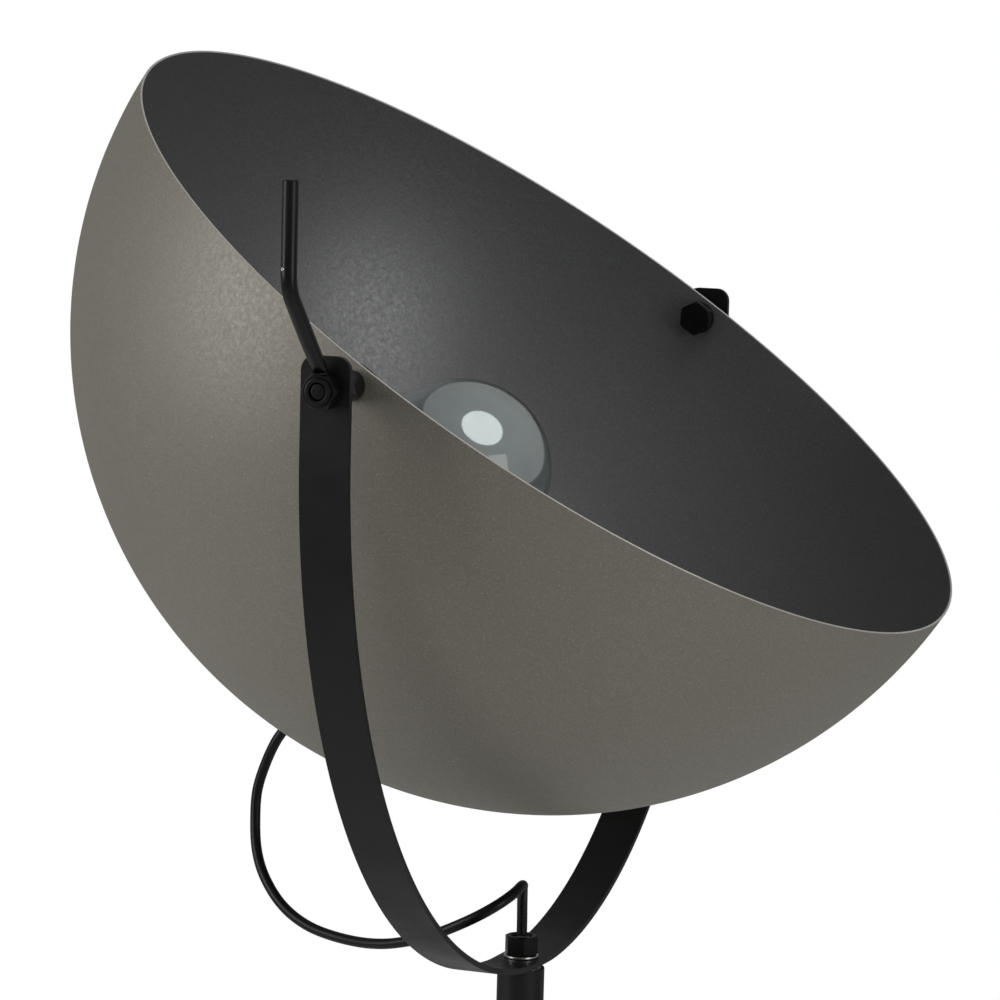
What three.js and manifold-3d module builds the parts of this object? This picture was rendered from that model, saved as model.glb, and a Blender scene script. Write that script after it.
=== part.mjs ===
// Tripod floor lamp with a tilting dome shade in a bow yoke. Millimetres, +Z up, floor at z = 0.
// The shade's pivot axis runs along X. The lamp's front, which the shade is tilted towards, is -Y.
import * as THREE from 'three';
import { mergeVertices } from 'three/addons/utils/BufferGeometryUtils.js';
import Module from 'manifold-3d';

const wasm = await Module();
wasm.setup();

// ---- Driving sizes -------------------------------------------------------------------------
const GAP = 0.3; // left between touching pieces
const CLEARANCE = 0.4; // radial room round a shank or tube in its hole

const PIVOT_HEIGHT = 1340;
const SHADE_TILT = THREE.MathUtils.degToRad(33.8); // opening's lean from straight up, as it stands

const SHADE_DIAMETER = 500;
const SHADE_WALL = 1.2;
const SHADE_SKIRT = 2; // straight band above the half sphere
const PIVOT_BELOW_RIM = 11;

const PIVOT_BOLT_DIAMETER = 8;
const BOLT_HEAD_ACROSS = 17;
const BOLT_HEAD_HEIGHT = 6.5;
const PIVOT_WASHER_DIAMETER = 18;
const PIVOT_WASHER_THICKNESS = 1.6;
const BUSH_DIAMETER = 15;
const NEAR_GAP = 27; // shade to yoke on the lever's side
const FAR_GAP = 10.5; // shade to yoke on the other side

const STRIP_WIDTH = 25;
const STRIP_THICKNESS = 3;
const STRIP_CORNER_RADIUS = 7;
const ARM_ABOVE_PIVOT = 16;
const ARM_STRAIGHT = 30; // below the pivot, before the bow begins
const BOW_BELOW_SHADE = 84.5; // shade's lowest reach to the strip's underside
const SEAT_HALF = 13.5; // half the flat at the bottom of the bow

const SPACER_ACROSS = 22;
const SPACER_HEIGHT = 6;
const SPACER_TURN = THREE.MathUtils.degToRad(-25); // its flats' lean, as it was tightened
const LEVER_NUT_ACROSS = 16;
const LEVER_NUT_HEIGHT = 9;
const LEVER_ROD_DIAMETER = 7.6;
const LEVER_LEAN_OUT = 38.5;
const LEVER_LEAN_UP = 41;
const LEVER_UPRIGHT = 50;
const FAR_NUT_ACROSS = 14;
const FAR_NUT_HEIGHT = 8;

const NIPPLE_DIAMETER = 10;
const NIPPLE_BORE = 7;
const YOKE_NUT_ACROSS = 16;
const YOKE_NUT_HEIGHT = 10;
const YOKE_WASHER_DIAMETER = 18.5;
const YOKE_WASHER_THICKNESS = 1.2;
const SEAT_WASHER_INSET = 2; // its edge, in from the column's outside
const SEAT_WASHER_THICKNESS = 1.5;

const COLUMN_DIAMETER = 25;
const COLUMN_WALL = 1.5;
const COLUMN_PLUG_HEIGHT = 14;
const COLUMN_SOCKET_DEPTH = 22;

const HUB_TOP_Z = 690;
const HUB_HEIGHT = 60;
const HUB_TOP_RADIUS = 18;
const HUB_BOTTOM_RADIUS = 43;
const CABLE_HOLE_RADIUS = 6;

const LEG_COUNT = 3;
const LEG_DIAMETER = 16;
const LEG_WALL = 1.5;
const LEG_SOCKET_DEPTH = 35;
const LEG_TOP_RADIUS = 30; // leg's axis at the hub's underside, out from the lamp's axis
const FOOT_RADIUS = 340; // leg's axis at the floor, out from the lamp's axis
const FOOT_WALL = 2.6;
const FOOT_SLEEVE = 26;
const FOOT_END = 12; // leg's end to the floor, along the leg
const LEG_SCREW_DIAMETER = 6;
const LEG_SCREW_HEAD = 9.6;

const FLEX_DIAMETER = 5.6;
const GRIP_DIAMETER = 15;
const GRIP_HEIGHT = 17;
const STEM_DIAMETER = 13;
const STEM_BORE = 8;
const HOLDER_DIAMETER = 40;
const HOLDER_CUP_LENGTH = 26;
const HOLDER_SKIRT_LENGTH = 32;
const HOLDER_WALL = 2;

const BULB_DIAMETER = 95;
const BULB_CENTRE_BELOW_PIVOT = 79;
const BULB_LENGTH = 137; // crown to the cap's end
const BULB_WALL = 1;
const CAP_DIAMETER = 26.6;
const CAP_LENGTH = 24;

const RELIEF_LENGTH = 34;
const SWITCH_DIAMETER = 64;
const SWITCH_HEIGHT = 22;
const BUTTON_DIAMETER = 32;
const BUTTON_TRAVEL = 3;
const PLUG_WIDTH = 35;
const PLUG_THICKNESS = 13.6;
const PLUG_LENGTH = 36;
const PIN_DIAMETER = 4.8;
const PIN_SPACING = 19;
const PIN_LENGTH = 19;

const COIL_RADIUS = 33; // middle of the turns
const COIL_ROWS = 3;
const COIL_LAYERS = 2;

// ---- Sizes worked out from them ------------------------------------------------------------
const shadeRadius = SHADE_DIAMETER / 2;
const sphereCentre = PIVOT_BELOW_RIM - SHADE_SKIRT; // above the pivot, along the shade's axis
const apex = sphereCentre - shadeRadius; // outside of the shade, along its axis
const shadeOffset = (NEAR_GAP - FAR_GAP) / 2;
const yokeHalf = shadeRadius + (NEAR_GAP + FAR_GAP) / 2 + STRIP_THICKNESS;
const yokeInside = yokeHalf - STRIP_THICKNESS;
const bowDepth = -apex + BOW_BELOW_SHADE - ARM_STRAIGHT;
const legSlope = Math.atan2(FOOT_RADIUS - LEG_TOP_RADIUS, HUB_TOP_Z - HUB_HEIGHT);
const legRadius = LEG_DIAMETER / 2;
const footRadius = legRadius + GAP + FOOT_WALL;

// ---- Finishes ------------------------------------------------------------------------------
function finish(color, roughness, metalness) {
  return new THREE.MeshStandardMaterial({ color, roughness, metalness });
}
const taupe = () => finish(0x77736b, 0.5, 0.35);
const black = () => finish(0x1b1b1b, 0.55, 0.25);
const blackPlastic = () => finish(0x141414, 0.5, 0);
const rubber = () => finish(0x101010, 0.85, 0);
const flexBlack = () => finish(0x121212, 0.45, 0);
const zinc = () => finish(0xc9c5bb, 0.3, 1);
const brass = () => finish(0xb9924c, 0.3, 1);
const glass = () => finish(0xdfe6e6, 0.05, 0);
const porcelain = () => finish(0xe8e4da, 0.4, 0);
const filamentYellow = () => finish(0xe0b84f, 0.5, 0);

// ---- Shape helpers -------------------------------------------------------------------------
// A turned piece about Z. Each point is [radius, z], in either order.
function turned(points, segments = 24) {
  const profile = points.map(([r, z]) => new THREE.Vector2(r, z));
  if (THREE.ShapeUtils.area(profile) < 0) profile.reverse();
  return new THREE.LatheGeometry(profile, segments).rotateX(Math.PI / 2);
}

function ring(outer, inner, low, high, segments = 24) {
  return turned([[inner, low], [outer, low], [outer, high], [inner, high], [inner, low]], segments);
}

function disc(radius, low, high, segments = 24) {
  return turned([[0, low], [radius, low], [radius, high], [0, high]], segments);
}

// A rod with a small chamfer at both ends.
function rod(radius, low, high, chamfer, segments = 20) {
  const points = [[0, low], [radius - chamfer, low], [radius, low + chamfer]];
  points.push([radius, high - chamfer], [radius - chamfer, high], [0, high]);
  return turned(points, segments);
}

// Arc points [radius, z] round (0, centre), from one angle above the horizontal to another.
function arc(radius, centre, from, to, steps) {
  const points = [];
  for (let i = 0; i <= steps; i += 1) {
    const angle = from + ((to - from) * i) / steps;
    points.push([radius * Math.cos(angle), centre + radius * Math.sin(angle)]);
  }
  return points;
}

function solid(geometry) {
  const bare = geometry.clone();
  bare.deleteAttribute('normal');
  bare.deleteAttribute('uv');
  const merged = mergeVertices(bare, 1e-4);
  const mesh = new wasm.Mesh({
    numProp: 3,
    vertProperties: merged.attributes.position.array,
    triVerts: merged.index.array,
  });
  return new wasm.Manifold(mesh);
}

function geometryOf(manifold) {
  const mesh = manifold.getMesh();
  const geometry = new THREE.BufferGeometry();
  geometry.setAttribute('position', new THREE.BufferAttribute(mesh.vertProperties, 3));
  geometry.setIndex(new THREE.BufferAttribute(mesh.triVerts, 1));
  geometry.computeVertexNormals();
  return geometry;
}

function cut(body, ...tools) {
  let result = solid(body);
  for (const tool of tools) result = result.subtract(solid(tool));
  return geometryOf(result);
}

function common(a, b) {
  return geometryOf(solid(a).intersect(solid(b)));
}

// A hexagon prism about Z with both ends chamfered, flats facing +X and -X.
function hexagon(across, low, high) {
  const corner = across / Math.sqrt(3);
  const prism = new THREE.CylinderGeometry(corner, corner, high - low, 6);
  prism.rotateX(Math.PI / 2).translate(0, 0, (low + high) / 2);
  const chamfer = (corner - across / 2) * 1.25;
  const drop = chamfer * 0.6;
  const points = [[0, low], [corner - chamfer, low], [corner + 0.1, low + drop]];
  points.push([corner + 0.1, high - drop], [corner - chamfer, high], [0, high]);
  return common(prism, turned(points, 30));
}

function hexNut(across, bore, low, high) {
  return cut(hexagon(across, low, high), disc(bore, low - 1, high + 1, 20));
}

// Turns a piece built about Z so that its +Z points out of the shade to that side, -1 or +1.
function outward(geometry, side) {
  return geometry.rotateY((side * Math.PI) / 2);
}

// A tube or rod of a round section along a curve.
function along(curve, radius, steps, sides) {
  const section = new THREE.Shape();
  for (let i = 0; i < sides; i += 1) {
    const angle = (2 * Math.PI * i) / sides;
    const [x, y] = [radius * Math.cos(angle), radius * Math.sin(angle)];
    if (i === 0) section.moveTo(x, y);
    else section.lineTo(x, y);
  }
  return new THREE.ExtrudeGeometry(section, { steps, extrudePath: curve, bevelEnabled: false });
}

function add(parent, name, geometry, material) {
  const mesh = new THREE.Mesh(geometry, material);
  mesh.name = name;
  parent.add(mesh);
  return mesh;
}

// ---- Shade, about its own axis: Z out of the opening, origin on the pivot axis ---------------
function shade() {
  const inner = shadeRadius - SHADE_WALL;
  const quarter = Math.PI / 2;
  const outside = arc(shadeRadius, sphereCentre, -quarter, 0, 17);
  const inside = arc(inner, sphereCentre, 0, -quarter, 17);
  const rim = [[shadeRadius, PIVOT_BELOW_RIM], [inner, PIVOT_BELOW_RIM]];
  outside[0][0] = 0;
  inside[inside.length - 1][0] = 0;
  const bowl = turned([...outside, ...rim, ...inside], 60);
  const hole = PIVOT_BOLT_DIAMETER / 2 + CLEARANCE;
  const cross = outward(disc(hole, -shadeRadius - 5, shadeRadius + 5, 20), 1);
  const stemHole = disc(STEM_DIAMETER / 2 + CLEARANCE, apex - 5, apex + 12, 24);
  return cut(bowl, cross, stemHole);
}

// Smallest inside radius of the shade under a washer of this radius at the pivot.
function insideWall(washerRadius) {
  const inner = shadeRadius - SHADE_WALL;
  return Math.sqrt(inner ** 2 - (sphereCentre + washerRadius) ** 2 - washerRadius ** 2);
}

function cordGrip() {
  const radius = GRIP_DIAMETER / 2;
  const base = apex - GAP;
  const bore = FLEX_DIAMETER / 2 + CLEARANCE;
  const points = [[bore, base - GRIP_HEIGHT], [bore, base]];
  points.push([radius, base], [radius, base - GRIP_HEIGHT * 0.45]);
  points.push([radius * 0.93, base - GRIP_HEIGHT * 0.62], [radius * 0.75, base - GRIP_HEIGHT * 0.82]);
  points.push([radius * 0.58, base - GRIP_HEIGHT * 0.95], [radius * 0.5, base - GRIP_HEIGHT]);
  points.push([bore, base - GRIP_HEIGHT]);
  return turned(points);
}

const holderTop = -BULB_CENTRE_BELOW_PIVOT + BULB_DIAMETER / 2 - BULB_LENGTH + CAP_LENGTH + 2;
const holderSplit = holderTop - HOLDER_SKIRT_LENGTH;
const holderEnd = holderSplit - HOLDER_CUP_LENGTH;

function stem() {
  const low = apex - GAP + 0.5;
  return ring(STEM_DIAMETER / 2, STEM_BORE / 2, low, holderEnd - GAP, 20);
}

function stemNut() {
  const low = apex + SHADE_WALL + 1;
  return hexNut(STEM_DIAMETER + 8, STEM_DIAMETER / 2 + CLEARANCE, low, low + 6);
}

function holderCup() {
  const radius = HOLDER_DIAMETER / 2;
  const inner = radius - HOLDER_WALL;
  const floor = holderEnd + HOLDER_WALL;
  const hole = STEM_BORE / 2;
  const points = [[hole, holderEnd], [radius * 0.55, holderEnd], [radius * 0.85, holderEnd + 3]];
  points.push([radius, holderEnd + 9], [radius, holderSplit - GAP], [inner, holderSplit - GAP]);
  points.push([inner, holderEnd + 10], [inner * 0.8, floor + 2], [hole, floor + 1], [hole, holderEnd]);
  return turned(points);
}

function holderSkirt() {
  const radius = HOLDER_DIAMETER / 2;
  const inner = CAP_DIAMETER / 2 + 2.4;
  const lip = radius + 1.5;
  const points = [[inner, holderSplit], [radius, holderSplit], [radius, holderTop - 4]];
  points.push([lip, holderTop - 3], [lip, holderTop], [inner, holderTop], [inner, holderSplit]);
  return turned(points);
}

function holderShell() {
  const inner = CAP_DIAMETER / 2 + 0.8;
  return ring(inner + 0.8, inner, holderSplit + 1, holderTop - 2);
}

function holderContact() {
  const top = holderTop - 2 - CAP_LENGTH - 5;
  return turned([[0, top - 9], [9, top - 9], [9, top - 6], [4, top - 4], [3, top], [0, top]], 20);
}

// Points [radius, z] of the bulb's glass, inset by this much, from the neck to the crown.
function bulbProfile(inset) {
  const radius = BULB_DIAMETER / 2 - inset;
  const centre = -BULB_CENTRE_BELOW_PIVOT;
  const neck = CAP_DIAMETER / 2 - 1.2 - inset;
  const bottom = centre + BULB_DIAMETER / 2 - BULB_LENGTH + CAP_LENGTH;
  const start = THREE.MathUtils.degToRad(-56);
  const points = [[neck, bottom + GAP + 1]];
  points.push([neck, bottom + 4]);
  points.push([neck * 1.12, bottom + 8]);
  points.push(...arc(radius, centre, start, Math.PI / 2, 13));
  points[points.length - 1][0] = 0;
  return points;
}

function bulbGlass() {
  const inside = bulbProfile(BULB_WALL).reverse();
  return turned([...bulbProfile(0), ...inside, bulbProfile(0)[0]], 28);
}

function bulbCap() {
  const top = holderTop - 2;
  const radius = CAP_DIAMETER / 2;
  const inner = radius - 0.8;
  const points = [[0, top - CAP_LENGTH], [radius * 0.5, top - CAP_LENGTH]];
  points.push([radius * 0.97, top - CAP_LENGTH + 4], [radius, top - CAP_LENGTH + 6], [radius, top]);
  points.push([inner, top], [inner, top - CAP_LENGTH + 7], [radius * 0.45, top - CAP_LENGTH + 2]);
  points.push([0, top - CAP_LENGTH + 2]);
  return turned(points);
}

function bulbTip() {
  const top = holderTop - 2 - CAP_LENGTH - GAP;
  return turned([[0, top - 3.2], [3, top - 3.2], [6, top - 1.5], [6, top], [0, top]], 20);
}

function filamentStem() {
  const low = holderTop - CAP_LENGTH + 6;
  const points = [[0, low], [5, low], [5, low + 26], [2.5, low + 42], [1.5, low + 62], [0, low + 62]];
  return turned(points, 16);
}

// Four leaning strips hung from one small ring.
function filaments() {
  const top = -BULB_CENTRE_BELOW_PIVOT + 20;
  let all = solid(ring(8, 6, top - 1, top + 0.6, 24));
  for (let i = 0; i < 4; i += 1) {
    const strip = new THREE.CylinderGeometry(0.9, 0.9, 36, 8);
    strip.rotateX(Math.PI / 2).translate(0, 0, -18);
    strip.rotateX(THREE.MathUtils.degToRad(14)).translate(0, 7, top);
    strip.rotateZ((i * Math.PI) / 2 + Math.PI / 4);
    all = all.add(solid(strip));
  }
  return geometryOf(all);
}

// ---- Pivot hardware, along Z outward from the shade, then turned to its side -----------------
function pivotBolt(tip) {
  const washer = PIVOT_WASHER_DIAMETER / 2;
  const headTop = insideWall(washer) - PIVOT_WASHER_THICKNESS - 2 * GAP;
  const head = solid(hexagon(BOLT_HEAD_ACROSS, headTop - BOLT_HEAD_HEIGHT, headTop));
  const shank = solid(rod(PIVOT_BOLT_DIAMETER / 2, headTop - 1, tip, 0.8));
  return geometryOf(head.add(shank));
}

function innerWasher() {
  const face = insideWall(PIVOT_WASHER_DIAMETER / 2) - GAP;
  const hole = PIVOT_BOLT_DIAMETER / 2 + CLEARANCE;
  return ring(PIVOT_WASHER_DIAMETER / 2, hole, face - PIVOT_WASHER_THICKNESS, face);
}

// The round bush from the shade's outside to a height above it.
function bush(height) {
  const low = shadeRadius + GAP;
  const hole = PIVOT_BOLT_DIAMETER / 2 + CLEARANCE;
  return ring(BUSH_DIAMETER / 2, hole, low, shadeRadius + height - GAP, 24);
}

function leverRod(nutMiddle) {
  const start = new THREE.Vector3(-nutMiddle, 0, LEVER_NUT_ACROSS / 2 + GAP);
  const bend = start.clone().add(new THREE.Vector3(-LEVER_LEAN_OUT, 0, LEVER_LEAN_UP));
  const top = bend.clone().add(new THREE.Vector3(0, 0, LEVER_UPRIGHT));
  const path = new THREE.CurvePath();
  const slope = bend.clone().sub(start).normalize();
  const beforeBend = bend.clone().addScaledVector(slope, -7);
  const afterBend = bend.clone().add(new THREE.Vector3(0, 0, 7));
  path.add(new THREE.LineCurve3(start, beforeBend));
  path.add(new THREE.QuadraticBezierCurve3(beforeBend, bend, afterBend));
  path.add(new THREE.LineCurve3(afterBend, top));
  const shaft = along(path, LEVER_ROD_DIAMETER / 2, 18, 12);
  const floor = new THREE.BoxGeometry(60, 60, 60);
  floor.translate(-nutMiddle, 0, LEVER_NUT_ACROSS / 2 + GAP - 30);
  return cut(shaft, floor);
}

function addPivots(shadeGroup, leverGroup) {
  const hole = PIVOT_BOLT_DIAMETER / 2 + CLEARANCE;
  const strap = STRIP_THICKNESS + GAP;
  const nearFace = shadeRadius + NEAR_GAP + strap;
  const nutTop = nearFace + LEVER_NUT_HEIGHT;
  const spacerLow = shadeRadius + NEAR_GAP - GAP - SPACER_HEIGHT;
  const washerOf = () => innerWasher();
  add(shadeGroup, 'lever_side_bolt', outward(pivotBolt(nutTop + 1.5), -1), black());
  add(shadeGroup, 'lever_side_inner_washer', outward(washerOf(), -1), black());
  const nearBush = bush(NEAR_GAP - SPACER_HEIGHT - GAP);
  add(shadeGroup, 'lever_side_bush', outward(nearBush, -1), black());
  const spacerNut = hexNut(SPACER_ACROSS, hole, spacerLow, spacerLow + SPACER_HEIGHT);
  const spacer = outward(spacerNut, -1).rotateX(SPACER_TURN);
  add(shadeGroup, 'lever_side_spacer_nut', spacer, black());
  const leverNut = hexNut(LEVER_NUT_ACROSS, hole, nearFace, nutTop);
  add(leverGroup, 'lever_nut', outward(leverNut, -1), black());
  add(leverGroup, 'lever_rod', leverRod((nearFace + nutTop) / 2), black());

  const farFace = shadeRadius + FAR_GAP + strap;
  const farTop = farFace + PIVOT_WASHER_THICKNESS + GAP + FAR_NUT_HEIGHT;
  add(shadeGroup, 'far_side_bolt', outward(pivotBolt(farTop + 1.5), 1), black());
  add(shadeGroup, 'far_side_inner_washer', outward(washerOf(), 1), black());
  add(shadeGroup, 'far_side_bush', outward(bush(FAR_GAP), 1), black());
  const outer = ring(PIVOT_WASHER_DIAMETER / 2, hole, farFace, farFace + PIVOT_WASHER_THICKNESS);
  add(shadeGroup, 'far_side_outer_washer', outward(outer, 1), black());
  const farNut = hexNut(FAR_NUT_ACROSS, hole, farTop - FAR_NUT_HEIGHT, farTop);
  add(shadeGroup, 'far_side_lock_nut', outward(farNut, 1), black());
}

// ---- Yoke, in the pivot's frame ------------------------------------------------------------
// Bow points [x, z] from -X to +X at this inset from the outside, flat across the seat.
function bow(inset) {
  const half = yokeHalf - inset;
  const depth = bowDepth - inset;
  const steps = 40;
  const points = [];
  for (let i = 0; i <= steps; i += 1) {
    const angle = (Math.PI * i) / steps;
    const x = -half * Math.cos(angle);
    if (Math.abs(x) > SEAT_HALF + 1) points.push([x, bowHeight(x, inset)]);
    else if (points[points.length - 1][0] < -SEAT_HALF) {
      points.push([-SEAT_HALF, bowHeight(SEAT_HALF, inset)], [SEAT_HALF, bowHeight(SEAT_HALF, inset)]);
    }
  }
  return points;
}

function bowHeight(x, inset) {
  const half = yokeHalf - inset;
  const share = Math.min(1, Math.abs(x) / half);
  return -ARM_STRAIGHT - (bowDepth - inset) * Math.sqrt(1 - share ** 2);
}

const seatTop = bowHeight(SEAT_HALF, STRIP_THICKNESS);
const seatUnderside = bowHeight(SEAT_HALF, 0);

function yokeStrip() {
  const outside = [[-yokeHalf, ARM_ABOVE_PIVOT], ...bow(0), [yokeHalf, ARM_ABOVE_PIVOT]];
  const inside = [[yokeInside, ARM_ABOVE_PIVOT], ...bow(STRIP_THICKNESS).reverse()];
  inside.push([-yokeInside, ARM_ABOVE_PIVOT]);
  const outline = new THREE.Shape([...outside, ...inside].map(([x, z]) => new THREE.Vector2(x, z)));
  const strip = new THREE.ExtrudeGeometry(outline, { depth: STRIP_WIDTH, bevelEnabled: false });
  strip.rotateX(Math.PI / 2).translate(0, STRIP_WIDTH / 2, 0);

  const half = STRIP_WIDTH / 2;
  const corner = STRIP_CORNER_RADIUS;
  const face = new THREE.Shape();
  face.moveTo(-half, -bowDepth * 2);
  face.lineTo(half, -bowDepth * 2);
  face.lineTo(half, ARM_ABOVE_PIVOT - corner);
  face.absarc(half - corner, ARM_ABOVE_PIVOT - corner, corner, 0, Math.PI / 2, false);
  face.lineTo(-half + corner, ARM_ABOVE_PIVOT);
  face.absarc(corner - half, ARM_ABOVE_PIVOT - corner, corner, Math.PI / 2, Math.PI, false);
  const options = { depth: 2 * yokeHalf + 20, bevelEnabled: false, curveSegments: 6 };
  const envelope = new THREE.ExtrudeGeometry(face, options);
  envelope.translate(0, 0, -yokeHalf - 10).rotateX(Math.PI / 2).rotateZ(Math.PI / 2);

  const boltHole = PIVOT_BOLT_DIAMETER / 2 + CLEARANCE;
  const cross = outward(disc(boltHole, -yokeHalf - 5, yokeHalf + 5, 24), 1);
  const nippleHole = NIPPLE_DIAMETER / 2 + CLEARANCE;
  const down = disc(nippleHole, seatUnderside - 5, seatTop + 5, 32);
  return cut(common(strip, envelope), cross, down);
}

const nutLow = seatTop + 2 * GAP + YOKE_WASHER_THICKNESS;
const nutTop = nutLow + YOKE_NUT_HEIGHT;
const columnTop = seatUnderside - 2 * GAP - SEAT_WASHER_THICKNESS;

function addSwivelHardware(parent) {
  const hole = NIPPLE_DIAMETER / 2 + CLEARANCE;
  const nipple = ring(NIPPLE_DIAMETER / 2, NIPPLE_BORE / 2, columnTop - COLUMN_PLUG_HEIGHT, nutTop - 1.5);
  add(parent, 'yoke_nipple', nipple, zinc());
  const washerTop = seatTop + GAP + YOKE_WASHER_THICKNESS;
  const washer = ring(YOKE_WASHER_DIAMETER / 2, hole, seatTop + GAP, washerTop);
  add(parent, 'yoke_washer', washer, zinc());
  add(parent, 'yoke_nut', hexNut(YOKE_NUT_ACROSS, hole, nutLow, nutTop), black());
  const seatLow = columnTop + GAP;
  const seat = ring(COLUMN_DIAMETER / 2 - SEAT_WASHER_INSET, hole, seatLow, seatLow + SEAT_WASHER_THICKNESS);
  add(parent, 'yoke_seat_washer', seat, zinc());
}

// ---- Column, hub and legs, in the lamp's frame ----------------------------------------------
const columnTopZ = PIVOT_HEIGHT + columnTop;
const columnLowZ = HUB_TOP_Z - COLUMN_SOCKET_DEPTH + GAP;
const hubLowZ = HUB_TOP_Z - HUB_HEIGHT;

function addColumn(parent) {
  const radius = COLUMN_DIAMETER / 2;
  const inner = radius - COLUMN_WALL;
  const points = [[inner, columnLowZ], [radius, columnLowZ], [radius, columnTopZ - 1]];
  points.push([radius - 1, columnTopZ], [inner, columnTopZ], [inner, columnLowZ]);
  add(parent, 'column_tube', turned(points), black());
  const hole = NIPPLE_DIAMETER / 2 + CLEARANCE;
  const plug = ring(inner - GAP, hole, columnTopZ - COLUMN_PLUG_HEIGHT, columnTopZ);
  add(parent, 'column_plug', plug, zinc());
  const flexTop = columnTopZ - COLUMN_PLUG_HEIGHT - 4;
  add(parent, 'column_flex', disc(FLEX_DIAMETER / 2, hubLowZ + 14, flexTop, 12), flexBlack());
}

// Moves a piece from a leg's own frame (Z up the leg, X outward, origin at the hub's underside).
function onLeg(geometry, turn) {
  geometry.rotateY(-legSlope).translate(LEG_TOP_RADIUS, 0, hubLowZ);
  return geometry.rotateZ(turn);
}

function legTurn(index) {
  return -Math.PI / 2 + (index * 2 * Math.PI) / LEG_COUNT;
}

const screwSeat = (HUB_BOTTOM_RADIUS - LEG_TOP_RADIUS) * Math.cos(legSlope) - 0.6;

function hub() {
  const low = hubLowZ;
  const points = [[0, low], [HUB_BOTTOM_RADIUS - 1.5, low], [HUB_BOTTOM_RADIUS, low + 2]];
  points.push([HUB_TOP_RADIUS, HUB_TOP_Z - 1.5], [HUB_TOP_RADIUS - 1.5, HUB_TOP_Z], [0, HUB_TOP_Z]);
  const body = turned(points, 36);
  const socketFloor = HUB_TOP_Z - COLUMN_SOCKET_DEPTH;
  const tools = [disc(COLUMN_DIAMETER / 2 + GAP, socketFloor, HUB_TOP_Z + 5)];
  tools.push(disc(CABLE_HOLE_RADIUS, low - 5, socketFloor + 5, 24));
  for (let i = 0; i < LEG_COUNT; i += 1) {
    tools.push(onLeg(disc(legRadius + GAP, -40, LEG_SOCKET_DEPTH, 24), legTurn(i)));
    const screwHole = disc(LEG_SCREW_DIAMETER / 2 + GAP, legRadius - 1, screwSeat + 2, 16);
    const recess = disc(LEG_SCREW_HEAD / 2 + GAP, screwSeat, screwSeat + 30, 20);
    for (const tool of [screwHole, recess]) {
      tool.rotateY(Math.PI / 2).translate(0, 0, LEG_SOCKET_DEPTH / 2);
      tools.push(onLeg(tool, legTurn(i)));
    }
  }
  return cut(body, ...tools);
}

const legDrop = hubLowZ / Math.cos(legSlope); // along the leg, hub's underside to the floor

function leg(turn) {
  const low = FOOT_END - legDrop;
  return onLeg(ring(legRadius, legRadius - LEG_WALL, low, LEG_SOCKET_DEPTH - GAP, 24), turn);
}

function foot(turn) {
  const legEnd = FOOT_END - legDrop;
  const sleeveTop = legEnd + FOOT_SLEEVE;
  const points = [[0, legEnd - 40], [footRadius, legEnd - 40], [footRadius, sleeveTop - 1.5]];
  points.push([footRadius - 1.2, sleeveTop], [0, sleeveTop]);
  const sleeve = onLeg(turned(points, 24), turn);
  const bore = onLeg(disc(legRadius + GAP, legEnd - GAP, sleeveTop + 5, 24), turn);
  const floor = new THREE.BoxGeometry(4 * FOOT_RADIUS, 4 * FOOT_RADIUS, 100);
  floor.translate(0, 0, -50);
  return cut(sleeve, bore, floor);
}

function legScrew(turn) {
  const shank = solid(disc(LEG_SCREW_DIAMETER / 2, legRadius + 0.15, screwSeat + GAP + 1, 14));
  const headLow = screwSeat + GAP;
  const headRadius = LEG_SCREW_HEAD / 2;
  const points = [[0, headLow], [headRadius, headLow], [headRadius, headLow + 1.6]];
  points.push([headRadius * 0.7, headLow + 2.8], [0, headLow + 2.8]);
  const head = solid(turned(points, 18));
  const socket = new THREE.CylinderGeometry(2, 2, 4, 6).rotateX(Math.PI / 2);
  socket.translate(0, 0, headLow + 3.2);
  const screw = geometryOf(head.add(shank).subtract(solid(socket)));
  screw.rotateY(Math.PI / 2).translate(0, 0, LEG_SOCKET_DEPTH / 2);
  return onLeg(screw, turn);
}

function addLegs(parent) {
  add(parent, 'hub', hub(), black());
  const sides = ['front', 'right', 'left'];
  for (let i = 0; i < LEG_COUNT; i += 1) {
    add(parent, `leg_${sides[i]}`, leg(legTurn(i)), black());
    add(parent, `leg_screw_${sides[i]}`, legScrew(legTurn(i)), zinc());
    add(parent, `foot_${sides[i]}`, foot(legTurn(i)), rubber());
  }
}

// ---- Flex, foot switch and plug --------------------------------------------------------------
// Head flex: from the grip at the shade's apex to the yoke's nut, in the pivot's frame.
const HEAD_FLEX_ROUTE = [
  [8, 144, -215], [8, 148, -221], [9, 154, -233], [9, 159, -249], [7, 159, -265],
  [3, 156, -280], [-3, 149, -292], [-11, 135, -305], [-20, 116, -313], [-30, 90, -316],
  [-40, 63, -314], [-47, 38, -307], [-51, 20, -299], [-50, 5, -291], [-44, -4, -285],
  [-34, -8, -281], [-22, -8, -279], [-11, -4, -283], [-3, -1, -293], [0, 0, -303], [0, 0, -310],
];

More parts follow.
